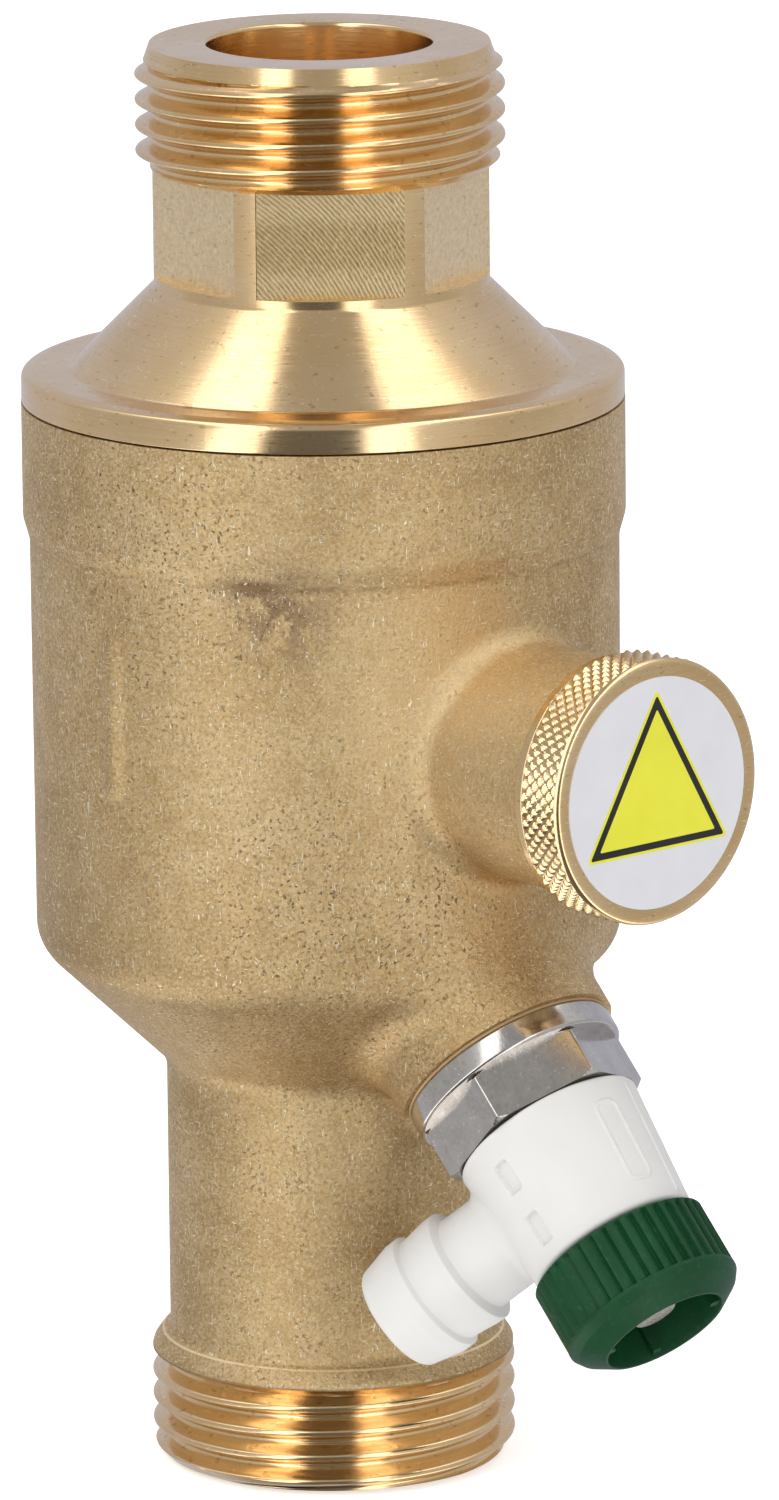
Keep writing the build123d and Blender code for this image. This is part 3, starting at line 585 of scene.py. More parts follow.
def make_cap(material):
    """The knurled cap, with its spigot and the hole that turns on the magnet rod's pin."""
    steps = KNURL_COUNT * KNURL_CELLS
    knurl_pitch = 2 * math.pi * CAP_R / KNURL_COUNT
    rows = int(round((KNURL_END - KNURL_START) / (knurl_pitch / KNURL_CELLS)))
    knurl_rows = [
        (CAP_R, KNURL_START + (KNURL_END - KNURL_START) * k / rows) for k in range(rows + 1)
    ]
    outline = (
        [(2.55, 35.2), (4.2, 35.2), (4.2, 34.15), (4.35, 34.0), (6.75, 34.0), (6.99, 34.25)]
        + [(6.99, 37.4), (5.9, 37.4), (5.9, 39.35)]
        + [(CAP_R - 0.45, 39.35), (CAP_R - 0.32, 39.4), (CAP_R - 0.3, KNURL_START - 0.12)]
        + knurl_rows
        + [(CAP_R - 0.06, KNURL_END + 0.05), (CAP_R - 0.2, CAP_FACE - 0.2)]
        + [(CAP_R - 0.4, CAP_FACE - 0.06), (CAP_R - 0.6, CAP_FACE), (CAP_R - 1.2, CAP_FACE)]
        + [(0, CAP_FACE), (0, 41.8), (2.55, 41.8)]
    )

    def knurl(r, z, angle):
        cut = (z > KNURL_START - 1e-6) & (z < KNURL_END + 1e-6) & (r > CAP_R - 0.05)
        along = (z - KNURL_START) / knurl_pitch
        around = angle * KNURL_COUNT / (2 * math.pi)
        valleys = [np.abs((around + sign * along) % 1 - 0.5) * 2 for sign in (-1, 1)]
        height = np.minimum(1 - valleys[0], 1 - valleys[1])
        height = np.minimum(height, 0.8) / 0.8
        return np.where(cut, r - KNURL_DEPTH * (1 - height), r), z

    return turned("knurled_cap", outline, MAGNET, material, steps, knurl, 35)


def flat_prism(bm, outline, low, high, material_index):
    """A thin flat plate of an outline in the local XY plane, between two heights."""
    verts = [bm.verts.new((x, y, low)) for x, y in outline]
    edges = [bm.edges.new((a, b)) for a, b in zip(verts, verts[1:] + verts[:1])]
    filled = bmesh.ops.triangle_fill(bm, edges=edges, use_beauty=True)
    faces = [g for g in filled["geom"] if isinstance(g, bmesh.types.BMFace)]
    made = bmesh.ops.extrude_face_region(bm, geom=faces)["geom"]
    tops = [g for g in made if isinstance(g, bmesh.types.BMVert)]
    bmesh.ops.translate(bm, vec=(0, 0, high - low), verts=tops)
    touched = {f for v in tops for f in v.link_faces} | set(faces)
    for face in touched:
        face.material_index = material_index


def arc_points(centre, radius, start, end, steps):
    """Points on an arc, angles in degrees."""
    turns = [math.radians(start + (end - start) * k / steps) for k in range(steps + 1)]
    return [(centre[0] + radius * math.cos(a), centre[1] + radius * math.sin(a)) for a in turns]


def round_triangle(side, corner_r, steps=6):
    """An upright triangle with rounded corners, centred on its middle."""
    outline = []
    reach = side / math.sqrt(3) - 2 * corner_r
    for k in range(3):
        turn = 90 + 120 * k
        centre = (reach * math.cos(math.radians(turn)), reach * math.sin(math.radians(turn)))
        outline += arc_points(centre, corner_r, turn - 60, turn + 60, steps)
    return outline


LABEL_FILM = 0.1
LABEL_DROP = -0.37
LABEL_SIDEWAYS = -0.2
# Halo, border and field: side, corner radius, height of the print, material.
TRIANGLES = [(16.8, 0.3, 0.018, 2), (15.9, 0.15, 0.03, 1), (13.7, 0.1, 0.042, 2)]


def make_label(material):
    """The round label: a pale disc with a plain bordered triangle, in thin printed layers."""
    base = LABEL_LOW.x
    film = base + LABEL_FILM
    bm = bmesh.new()
    disc = arc_points((0, 0), LABEL_R, 0, 360 - 360 / 128, 127)
    flat_prism(bm, disc, base, film, 0)
    for side, corner_r, height, index in TRIANGLES:
        outline = [(x, y + LABEL_DROP) for x, y in round_triangle(side, corner_r)]
        flat_prism(bm, outline, film, film + height, index)
    bmesh.ops.recalc_face_normals(bm, faces=bm.faces)
    mesh = bpy.data.meshes.new("label_disc")
    bm.to_mesh(mesh)
    bm.free()
    upright = axis_frame((0, LABEL_SIDEWAYS, MAGNET_Z), (1, 0, 0), (0, 1, 0))
    mesh.transform(Matrix.Scale(MM, 4) @ upright)
    return object_of(mesh, [material, MATERIALS["print_black"], MATERIALS["print_yellow"]])


# ---- green knob
KNOB_START = 55.0
KNOB_R = 8.45
KNOB_RIBS = 38
RIB_CELLS = 22
GROOVE_END = 61.2
TOOTH_DEPTH = 0.5
TOOTH_STEP = 0.1
MOUTH_FLOOR = 59.8
INNER_RIB_ANGLE = math.radians(26)
INNER_RIB_R = 4.86
INNER_RIB_HALF = 0.4
INNER_RIB_END = 63.3
HUB_SQUARE = 2.08
HUB_TURN = math.radians(20)


def knob_outline():
    """Outline of the knob: skirt, ribbed side, rounded rim, mouth, hub."""
    side = [(KNOB_R, KNOB_START + 0.4 + 5.55 * k / 20) for k in range(21)]
    side += [(KNOB_R, GROOVE_END - 0.12 + 0.04 * k) for k in range(5)]
    rim = rounded(
        [
            (KNOB_R, KNOB_START + 3),
            (KNOB_R, GROOVE_END + 0.35),
            (7.9, 62.35),
            (6.0, 63.7),
            (5.76, 63.7),
            (5.7, INNER_RIB_END + 0.05),
        ],
        [0, 0.3, 0.6, 0.12, 0.08, 0],
    )[1:]
    foot = rounded(
        [(5.6, 58.4), (5.6, KNOB_START), (KNOB_R, KNOB_START), (KNOB_R, KNOB_START + 3)],
        [0.2, 0.1, 0.2, 0],
    )[:-1]
    wall = [(5.69, INNER_RIB_END), (5.68, INNER_RIB_END - 0.05)]
    wall += [(5.66 - 0.34 * k / 6, INNER_RIB_END - 0.2 - 3.0 * k / 6) for k in range(7)]
    floor = [(5.3, MOUTH_FLOOR + 0.05), (5.2, MOUTH_FLOOR)]
    floor += [(3.3, MOUTH_FLOOR), (3.2, MOUTH_FLOOR + 0.1)]
    hub = [(3.2, 60.75), (3.1, 60.85), (2.3, 60.85), (2.3, 58.4)]
    return foot + side + rim + wall + floor + hub


def make_knob(material):
    """The ribbed knob with its open mouth, inner ribs and hub."""

    def details(r, t, angle):
        turn = angle * KNOB_RIBS / (2 * math.pi) % 1
        tooth = np.minimum(turn / TOOTH_STEP, (1 - turn) / (1 - TOOTH_STEP)) ** 1.5
        share = np.clip(np.minimum((GROOVE_END - t) / 0.12, (t - KNOB_START - 0.1) / 0.25), 0, 1)
        cut = r - TOOTH_DEPTH * tooth * share
        ribbed = (r > KNOB_R - 0.25) & (t < GROOVE_END)
        inner = (r > 5.2) & (r < 5.72) & (t > MOUTH_FLOOR) & (t < INNER_RIB_END + 0.01)
        inner &= np.abs(from_nearest(angle, INNER_RIB_ANGLE, 4)) * 5.3 < INNER_RIB_HALF
        squared = HUB_SQUARE / np.cos(from_nearest(angle, HUB_TURN, 4))
        r = np.where(ribbed, cut, r)
        r = np.where(inner, INNER_RIB_R, r)
        return np.where(r < 2.4, squared, r), t

    steps = KNOB_RIBS * RIB_CELLS
    return turned("ribbed_knob", knob_outline(), DRAIN, material, steps, details, 28)


# ---- drain base and gasket
BASE_COLLAR_R = 10.1
BASE_HEX = (37.0, 41.8)
BASE_HEX_R = 9.75
BASE_HEX_FLAT_R = 8.5
BASE_HEX_TURN = math.radians(63)


def make_drain_base(material):
    """The plated base: spigot, round collar, a hexagon with lightly broken corners, a socket."""
    start, end = BASE_HEX
    groove_r, socket_r, port_r, spigot_r = 7.05, 6.56, 4.0, 8.3
    spigot_start = 27.5
    collar_start = DRAIN_BOSS_END + 0.26
    socket = [(socket_r, end), (socket_r, 41.05), (groove_r, 41.05), (groove_r, 40.35)]
    socket += [(socket_r, 40.35), (socket_r, 33.1), (port_r, 33.1)]
    collar = rounded(
        [
            (spigot_r, spigot_start),
            (spigot_r, collar_start),
            (BASE_COLLAR_R, collar_start),
            (BASE_COLLAR_R, start),
            (9.0, start),
        ],
        [0, 0, 0.25, 0.3, 0],
    )
    broken = np.arange(0.001, 0.4, 0.04)
    rows = [(BASE_HEX_R, start + step) for step in broken]
    rows += [(BASE_HEX_R, end - step) for step in broken[::-1]]
    outline = [(port_r, spigot_start)] + collar[:-1] + rows + socket

    def hexagon(r, t, angle):
        on_hex = (t > start + 5e-4) & (t < end - 5e-4) & (r > 9)
        turn = from_nearest(angle, BASE_HEX_TURN, 6)
        from_end = np.minimum(t - start, end - t)
        corner = np.minimum(BASE_HEX_R, BASE_HEX_R - 0.45 + from_end * 1.7)
        return np.where(on_hex, np.minimum(BASE_HEX_FLAT_R / np.cos(turn), corner), r), t

    return turned("drain_base_turned", outline, DRAIN, material, 720, hexagon)


def make_gasket(material):
    """The flat gasket squeezed between the drain boss and the base's collar."""
    start, end = DRAIN_BOSS_END, DRAIN_BOSS_END + 0.25
    inner = 8.45
    corners_at = [(inner, start), (BASE_COLLAR_R, start), (BASE_COLLAR_R, end), (inner, end)]
    return turned("gasket_ring", rounded(corners_at, [0.05] * 4), DRAIN, material, 180)


# ---- white outlet body
NOZZLE_T = 47.7
NOZZLE_TURN = math.radians(27.5)
NOZZLE_R = 4.7
NOZZLE_FILLET = 0.9
DOWNWARDS = Vector((-1, 0, -1)).normalized()
NOZZLE_DIR = DOWNWARDS * math.cos(NOZZLE_TURN) + Vector((0, -1, 0)) * math.sin(NOZZLE_TURN)
NOZZLE = axis_frame(DRAIN_ORIGIN + DRAIN_DIR * NOZZLE_T, NOZZLE_DIR, DRAIN_DIR)
NOZZLE_ANGLE = math.pi / 2 - NOZZLE_TURN
BARREL_START, BARREL_FOOT_R = 41.95, 8.85
BARREL_END, BARREL_TOP_R = 54.7, 7.8


def barrel_radius(t):
    """Radius of the outlet body's tapered barrel at a distance along the drain axis."""
    share = (t - BARREL_START) / (BARREL_END - BARREL_START)
    return BARREL_FOOT_R + (BARREL_TOP_R - BARREL_FOOT_R) * share


def rounded_box(u, v, half_u, half_v, corner):
    """Signed distance of points (u, v) to a rectangle with rounded corners."""
    a, b = np.abs(u) - half_u + corner, np.abs(v) - half_v + corner
    return np.hypot(np.maximum(a, 0), np.maximum(b, 0)) + np.minimum(np.maximum(a, b), 0) - corner


def barrel_relief(angle, t):
    """Height of the marks moulded on the barrel: two pockets, an empty frame and the mould seam."""
    height = np.zeros(np.broadcast(angle, t).shape)

    def across(degrees):
        turn = angle - NOZZLE_ANGLE - math.radians(degrees)
        return ((turn + math.pi) % (2 * math.pi) - math.pi) * barrel_radius(t)

    for degrees, middle in ((-72, 46.1), (-70.5, 51.5)):
        pocket = rounded_box(across(degrees), t - middle, 0.75, 1.5, 0.3)
        height -= 0.4 * np.clip(0.5 - pocket / 0.16, 0, 1)
    frame_line = np.abs(rounded_box(across(-150), t - 48.3, 1.15, 3.9, 0.8)) - 0.16
    height += 0.13 * np.clip(0.5 - frame_line / 0.14, 0, 1)
    seam = rounded_box(across(-177), t - 48.3, 0.14, 5.6, 0.14)
    height += 0.1 * np.clip(0.5 - seam / 0.14, 0, 1)
    return height


def make_barrel(material):
    """The white outlet body without its nozzle: spigot, tapered barrel and stem neck."""
    spigot = [(3.4, 33.4), (6.5, 33.4)]
    for start, end, groove_r in ((34.4, 36.2, 5.5), (37.4, 39.2, 5.5), (40.35, 41.05, 5.9)):
        spigot += [(6.5, start), (groove_r, start), (groove_r, end), (6.5, end)]
    spigot += [(6.5, BARREL_START)]
    shell = rounded(
        [
            (6.5, BARREL_START),
            (BARREL_FOOT_R, BARREL_START),
            (BARREL_TOP_R, BARREL_END),
            (5.5, BARREL_END),
            (5.5, 58.2),
            (3.45, 58.2),
            (3.45, 51.6),
        ],
        [0, 0.3, 0.5, 0.2, 0.2, 0, 0],
    )[1:]
    rows = [(barrel_radius(t), t) for t in np.arange(BARREL_START + 0.4, BARREL_END - 0.55, 0.09)]
    split = next(i for i, point in enumerate(shell) if point[1] > BARREL_START + 1)
    inside = [(4.6, 51.6), (4.6, 38.97), (3.4, 38.97)]
    outline = spigot + shell[:split] + rows + shell[split:] + inside

    def marks(r, t, angle):
        on_barrel = (t > BARREL_START + 0.38) & (t < BARREL_END - 0.5) & (r > 7.2)
        return np.where(on_barrel, r + barrel_relief(angle, t), r), t

    return turned("outlet_barrel", outline, DRAIN, material, 720, marks, 32)


def make_nozzle(material):
    """The hose nozzle with two rounded barbs, flared into the barrel by a small fillet."""
    outline = rounded(
        [
            (NOZZLE_R, 10.4),
            (NOZZLE_R, 12.5),
            (5.65, 12.9),
            (5.65, 13.9),
            (5.3, 16.6),
            (5.85, 16.9),
            (5.85, 18.1),
            (5.05, 21.6),
            (3.3, 21.6),
            (3.3, 6.0),
        ],
        [0, 0.15, 0.15, 0.6, 0.15, 0.2, 0.9, 0.8, 0.3, 0],
    )
    angles = even_angles(SPIN)
    rows = []
    for k in range(-1, 9):
        turn = max(k, 0) / 8 * math.pi / 2
        r = NOZZLE_R + NOZZLE_FILLET * (1 - math.sin(turn))
        lift = NOZZLE_FILLET * (1 - math.cos(turn)) - (0.4 if k < 0 else 0.02)
        x, y = r * np.cos(angles), r * np.sin(angles)
        height = np.sqrt(barrel_radius(NOZZLE_T + x) ** 2 - y**2) + lift
        rows.append(np.stack([x, y, height], axis=-1))
    points = np.concatenate([np.array(rows), spun_points(outline, angles)])
    faces = grid_faces(points.shape[0], SPIN)
    return build("outlet_nozzle", points.reshape(-1, 3), faces, NOZZLE, [material], 28)


# ---- materials
class Tree:
    """A short way to write a node tree."""

    def __init__(self, tree):
        self.tree = tree

    def add(self, kind, inputs=None, **settings):
        """A node with its settings, and with values or links put in its inputs."""
        node = self.tree.nodes.new(kind)
        for key, value in settings.items():
            setattr(node, key, value)
        for key, value in (inputs or {}).items():
            self.put(value, node.inputs[key])
        return node

    def put(self, value, socket):
        """Link a socket to another one, or set it to a value."""
        if isinstance(value, bpy.types.NodeSocket):
            self.tree.links.new(value, socket)
        else:
            socket.default_value = value

    def level(self, value, low, high, to_low=0.0, to_high=1.0):
        """A value mapped from one range to another, held at its ends."""
        inputs = {"Value": value, "From Min": low, "From Max": high}
        inputs |= {"To Min": to_low, "To Max": to_high}
        return self.add("ShaderNodeMapRange", inputs).outputs["Result"]

    def math(self, operation, a, b):
        """A sum, product or comparison of two values."""
        return self.add("ShaderNodeMath", {0: a, 1: b}, operation=operation).outputs[0]

    def ramp(self, value, *stops):
        """Colour ramp with (position, colour) stops."""
        node = self.add("ShaderNodeValToRGB", {"Fac": value})
        ramp = node.color_ramp
        while len(ramp.elements) < len(stops):
            ramp.elements.new(0.5)
        for element, (position, colour) in zip(ramp.elements, stops):
            element.position = position
            element.color = (*colour, 1)
        return node.outputs["Color"]

    def mix(self, share, a, b):
        """Mix of two colours, each a socket or three numbers."""
        node = self.add("ShaderNodeMix", {"Factor": share}, data_type="RGBA")
        for colour, socket in ((a, node.inputs[6]), (b, node.inputs[7])):
            self.put((*colour, 1) if isinstance(colour, tuple) else colour, socket)
        return node.outputs[2]


class Nodes(Tree):
    """A new material's node tree, with its shader and the object's coordinates."""

    def __init__(self, name):
        self.material = bpy.data.materials.new(name)
        self.material.use_nodes = True
        super().__init__(self.material.node_tree)
        self.shader = self.tree.nodes["Principled BSDF"]
        self.coords = self.tree.nodes.new("ShaderNodeTexCoord").outputs["Object"]

    def noise(self, scale, detail=4.0, roughness=0.55, coords=None, distortion=0.0):
        """Noise in 0 to 1, scale in features per millimetre."""
        node = self.add(
            "ShaderNodeTexNoise",
            {
                "Vector": coords or self.coords,
                "Scale": scale / MM,
                "Detail": detail,
                "Roughness": roughness,
                "Distortion": distortion,
            },
        )
        return node.outputs["Fac"]

    def stretched(self, x=1.0, y=1.0, z=1.0):
        """Object coordinates scaled along each axis."""
        node = self.add("ShaderNodeMapping", {"Vector": self.coords, "Scale": (x, y, z)})
        return node.outputs["Vector"]

    def bump(self, height, distance, strength=1.0, normal=None):
        """Bump with its height in millimetres."""
        inputs = {"Height": height, "Distance": distance * MM, "Strength": strength}
        if normal is not None:
            inputs["Normal"] = normal
        return self.add("ShaderNodeBump", inputs).outputs["Normal"]

    def spot(self, centre, radius, soft):
        """1 near a point given in millimetres, falling to 0 at a radius."""
        node = self.add(
            "ShaderNodeVectorMath",
            {0: self.coords, 1: tuple(c * MM for c in centre)},
            operation="DISTANCE",
        )
        return self.level(node.outputs["Value"], (radius - soft) * MM, radius * MM, 1.0, 0.0)

    def window(self, low, high, soft):
        """1 between two heights in millimetres, 0 outside."""
        z = self.add("ShaderNodeSeparateXYZ", {"Vector": self.coords}).outputs["Z"]
        rise = self.level(z, (low - soft) * MM, low * MM)
        fall = self.level(z, high * MM, (high + soft) * MM, 1.0, 0.0)
        return self.math("MULTIPLY", rise, fall)

    def tint(self, share, strength, base, colour):
        """A base colour tinted by a share between 0 and 1, times a strength."""
        return self.mix(self.math("MULTIPLY", share, strength), base, colour)

    def set(self, **sockets):
        """Set the shader's sockets, and give the finished material."""
        for name, value in sockets.items():
            self.put(value, self.shader.inputs[name.replace("_", " ")])
        return self.material

    def metal(self, base, roughness, normal):
        """The finished material, as bare metal."""
        return self.set(Base_Color=base, Metallic=1.0, Roughness=roughness, Normal=normal)


STAIN_AT = (17.0, -20.5, 84.0)
# Centres and radii of a warm painted shade in the recesses at the roots of the magnet and drain bosses.
RECESS_SHADE_SPOTS = [((25.8, -6.5, 83.5), 6.5), ((26.4, -2.5, 56.0), 7.0)]
DIRT_AT = (15.5, -21.6, 86.2)
SANDY_AT = (6.0, -26.0, 88.0)
SHADED_AT = (-8.0, -25.0, 50.0)
# Centre of a painted light on the right side of the magnet boss.
PAINTED_LIGHT_AT = (30.0, -8.0, 75.0)
PITTED_AT = (21.0, -16.0, 55.0)
SCRATCHES = [
    ((0.6, 0.3, 0.9), (0.5, 2.6, 2.6)),
    ((-0.5, 0.8, 0.2), (2.6, 0.5, 2.6)),
    ((0.3, -0.7, -0.4), (2.6, 2.6, 0.6)),
]


def cast_brass():
    """Sand-blasted cast brass: crisp grain, soft stains, dark pits and short bright scratches, with painted shade
    on the body's left side, in the recesses at the boss roots and in the crease under the band, and painted light
    on the magnet boss and along the shoulder's top edge.
    """
    n = Nodes("cast_brass")
    grain = n.noise(3.2, 3, 0.7)
    veil = n.noise(0.075, 5, 0.6)
    cloud = n.noise(0.3, 4, 0.65)
    base = n.ramp(
        veil, (0.3, (0.57, 0.395, 0.195)), (0.5, (0.67, 0.48, 0.245)), (0.7, (0.73, 0.545, 0.305))
    )
    base = n.mix(n.level(cloud, 0.40, 0.52, 0.22, 0.0), base, (0.42, 0.265, 0.11))
    base = n.mix(n.level(grain, 0.38, 0.48, 0.55, 0.0), base, (0.36, 0.235, 0.10))
    base = n.mix(n.level(grain, 0.52, 0.66, 0.0, 0.45), base, (0.95, 0.79, 0.50))
    ragged = n.level(n.noise(0.6, 5, 0.75), 0.44, 0.54)
    stain = n.math("MULTIPLY", n.spot(STAIN_AT, 6.5, 6.0), ragged)
    groove_dirt = n.math("MULTIPLY", n.spot(DIRT_AT, 5.0, 4.0), n.window(85.7, 86.6, 0.7))
    stain = n.math("MAXIMUM", stain, groove_dirt)
    base = n.tint(stain, 0.9, base, (0.27, 0.17, 0.10))
    # Painted shade: a warm darkening in the recesses at the boss roots.
    for place_at, radius in RECESS_SHADE_SPOTS:
        base = n.tint(n.spot(place_at, radius, radius), 0.4, base, (0.74, 0.43, 0.15))
    clusters = n.math("ADD", n.level(cloud, 0.46, 0.60), n.spot(PITTED_AT, 20, 18))
    clusters = n.math("ADD", clusters, n.spot(SANDY_AT, 17, 14))
    pits = n.math("MULTIPLY", n.level(n.noise(2.6, 2, 0.5), 0.60, 0.67), clusters)
    base = n.tint(pits, 0.6, base, (0.24, 0.155, 0.07))
    base = n.tint(n.spot(SHADED_AT, 17, 17), 0.45, base, (0.44, 0.30, 0.14))
    # Painted light: the right side of the magnet boss is made brighter.
    base = n.tint(n.spot(PAINTED_LIGHT_AT, 15, 13), 0.6, base, (0.92, 0.72, 0.42))
    # Painted shade along the crease under the band.
    crease_shade = n.math("MULTIPLY", n.window(86.1, 86.3, 0.25), n.level(cloud, 0.40, 0.55))
    base = n.tint(crease_shade, 0.4, base, (0.34, 0.22, 0.10))
    nicks = None
    for rotation, scale in SCRATCHES:
        inputs = {"Vector": n.coords, "Rotation": rotation, "Scale": scale}
        turned_coords = n.add("ShaderNodeMapping", inputs).outputs["Vector"]
        scratch = n.level(n.noise(1.9, 1, 0.5, turned_coords), 0.68, 0.715)
        nicks = scratch if nicks is None else n.math("MAXIMUM", nicks, scratch)
    base = n.tint(nicks, 0.75, base, (1.0, 0.92, 0.70))
    # Painted highlight along the top edge of the cast shoulder above the lower thread.
    base = n.tint(n.window(11.42, 11.5, 0.06), 0.8, base, (1.0, 0.85, 0.55))
    base = n.tint(n.window(9.0, 9.9, 0.12), 0.6, base, (0.25, 0.16, 0.06))
    roughness = n.level(n.math("SUBTRACT", grain, nicks), 0.0, 0.7, 0.36, 0.60)
    relief = n.math("ADD", n.math("SUBTRACT", grain, n.math("MULTIPLY", pits, 0.6)), nicks)
    normal = n.bump(relief, 0.10, 0.8)
    normal = n.bump(n.noise(0.45, 3, 0.5), 0.14, 0.3, normal)
    return n.metal(base, roughness, normal)


def machined_brass():
    """Bright turned brass with tool marks round the pipe axis, scratches and dark specks."""
    n = Nodes("machined_brass")
    tint = n.noise(0.12, 3, 0.5)
    base = n.ramp(tint, (0.3, (0.79, 0.55, 0.285)), (0.7, (0.87, 0.645, 0.385)))
    marks = n.noise(1.0, 3, 0.6, n.stretched(0.1, 0.1, 7.0))
    base = n.mix(n.level(marks, 0.4, 0.7, 0.0, 0.3), base, (0.64, 0.45, 0.19))
    scratches = n.level(n.noise(0.9, 3, 0.6, n.stretched(0.9, 0.9, 2.8), 2.0), 0.635, 0.67)
    base = n.tint(scratches, 0.6, base, (1.0, 0.88, 0.62))
    specks = n.level(n.noise(1.8, 2, 0.5, n.stretched(0.6, 0.6, 1.4)), 0.66, 0.70)
    base = n.tint(specks, 0.5, base, (0.42, 0.27, 0.10))
    roughness = n.level(marks, 0.3, 0.7, 0.11, 0.21)
    normal = n.bump(marks, 0.016, 0.35)
    normal = n.bump(n.noise(0.8, 2, 0.5), 0.015, 0.2, normal)
    return n.metal(base, roughness, normal)


def milled_brass():
    """A face-milled flat: arcs left by the cutter across a satin surface."""
    n = Nodes("milled_brass")
    inputs = {"Vector": n.coords, "Location": (-0.004, 0.030, -0.098)}
    moved_coords = n.add("ShaderNodeMapping", inputs).outputs["Vector"]
    arcs = n.add(
        "ShaderNodeTexWave",
        {
            "Vector": moved_coords,
            "Scale": 900.0,
            "Distortion": 2.0,
            "Detail": 2.0,
            "Detail Scale": 2.0,
        },
        wave_type="RINGS",
        rings_direction="SPHERICAL",
    ).outputs["Fac"]
    band = n.window(113.0, 116.0, 1.4)
    base = n.mix(n.level(arcs, 0.2, 0.8, 0.0, 0.3), (0.80, 0.62, 0.35), (0.62, 0.45, 0.22))
    base = n.tint(band, 0.5, base, (0.50, 0.34, 0.15))
    fine = n.noise(2.4, 3, 0.7)
    base = n.mix(n.level(fine, 0.55, 0.7, 0.0, 0.4), base, (0.92, 0.76, 0.50))
    roughness = n.level(fine, 0.3, 0.7, 0.30, 0.44)
    normal = n.bump(fine, 0.03, 0.4, n.bump(arcs, 0.02, 0.4))
    return n.metal(base, roughness, normal)


def sanded_brass():
    """A sandy, unmachined flat."""
    n = Nodes("sanded_brass")
    grain = n.noise(2.2, 4, 0.75)
    base = n.ramp(
        grain, (0.34, (0.82, 0.64, 0.40)), (0.5, (0.92, 0.74, 0.48)), (0.68, (1.0, 0.86, 0.60))
    )
    pits = n.level(n.noise(1.6, 2, 0.5, n.stretched(1.0, 1.0, 2.2)), 0.63, 0.69)
    base = n.tint(pits, 0.35, base, (0.42, 0.28, 0.12))
    roughness = n.level(grain, 0.3, 0.7, 0.42, 0.54)
    normal = n.bump(grain, 0.03, 0.4)
    return n.metal(base, roughness, normal)


def plain_metal(name, low, high, rough_low, rough_high):
    """A metal with a slight change of tone and roughness."""
    n = Nodes(name)
    tone = n.noise(0.8, 4, 0.6)
    base = n.ramp(tone, (0.35, low), (0.65, high))
    fine = n.noise(5.0, 2, 0.6)
    roughness = n.level(fine, 0.3, 0.7, rough_low, rough_high)
    normal = n.bump(fine, 0.01, 0.3)
    return n.metal(base, roughness, normal)


def nickel_plate():
    """Nickel plating over a turned and milled base, speckled and finely scratched."""
    n = Nodes("nickel_plate")
    tone = n.noise(0.5, 4, 0.6)
    base = n.ramp(tone, (0.35, (0.53, 0.50, 0.47)), (0.65, (0.62, 0.59, 0.56)))
    speckle = n.noise(2.6, 3, 0.7)
    base = n.mix(n.level(speckle, 0.34, 0.44, 0.3, 0.0), base, (0.34, 0.29, 0.25))
    base = n.mix(n.level(speckle, 0.62, 0.70, 0.0, 0.6), base, (0.97, 0.95, 0.93))
    brushed = n.noise(1.2, 3, 0.6, n.stretched(0.5, 3.5, 0.5))
    roughness = n.level(brushed, 0.3, 0.7, 0.10, 0.20)
    normal = n.bump(brushed, 0.012, 0.3, n.bump(speckle, 0.016, 0.3))
    return n.metal(base, roughness, normal)


def plastic(name, low, high, rough_low, rough_high, scuff=None, grain=0.015, shine=0.4):
    """Moulded plastic with a fine grain, and scuffs if given a colour."""
    n = Nodes(name)
    tone = n.noise(0.25, 3, 0.5)
    base = n.ramp(tone, (0.3, low), (0.7, high))
    fine = n.noise(4.0, 3, 0.6)
    if scuff:
        scratches = n.level(n.noise(1.2, 5, 0.7, n.stretched(0.6, 2.6, 1.4)), 0.56, 0.70)
        base = n.tint(scratches, 0.5, base, scuff)
    roughness = n.level(fine, 0.3, 0.7, rough_low, rough_high)
    normal = n.bump(fine, grain, 0.5)
    return n.set(Base_Color=base, Roughness=roughness, Normal=normal, Specular_IOR_Level=shine)


def greys(low, high):
    """Two greys, as colours."""
    return (low,) * 3, (high,) * 3


# Two tones, two roughnesses, then the scuffs' colour, the grain's height and the shine.
PLASTICS = {
    "white_plastic": ((0.645, 0.635, 0.615), (0.67, 0.66, 0.64), 0.42, 0.52),
    "green_plastic": (
        (0.003, 0.046, 0.014), (0.005, 0.060, 0.019), 0.40, 0.52, (0.04, 0.09, 0.05), 0.015, 0.22,
    ),
    "label_film": ((0.58, 0.58, 0.605), (0.61, 0.61, 0.635), 0.40, 0.48, None, 0.003),
    "print_black": (*greys(0.008, 0.014), 0.35, 0.42, None, 0.003),
    "print_yellow": ((0.65, 0.63, 0.025), (0.69, 0.67, 0.035), 0.4, 0.48, None, 0.003),
    "seal_rubber": (*greys(0.012, 0.02), 0.5, 0.65),
    "gasket_fibre": ((0.40, 0.27, 0.13), (0.50, 0.35, 0.18), 0.6, 0.75),
    "dark_plastic": (*greys(0.02, 0.03), 0.4, 0.5),
}
METALS = {
    "stainless_steel": ((0.48, 0.48, 0.47), (0.6, 0.6, 0.58), 0.25, 0.38),
    "magnet_nickel": ((0.58, 0.57, 0.54), (0.68, 0.67, 0.64), 0.12, 0.2),
    "pole_steel": (*greys(0.35, 0.45), 0.3, 0.42),
    "stem_brass": ((0.55, 0.50, 0.42), (0.66, 0.61, 0.53), 0.25, 0.36),
}
MATERIALS = {
    "cast_brass": cast_brass(),
    "machined_brass": machined_brass(),
    "nickel_plate": nickel_plate(),
}
MATERIALS |= {name: plastic(name, *look) for name, look in PLASTICS.items()}
MATERIALS |= {name: plain_metal(name, *look) for name, look in METALS.items()}

for part in frame["record"]["subparts"]:
    node = NODES[part["node"]]
    node.data.materials.clear()
    node.data.materials.append(MATERIALS[part["material_slot"]])


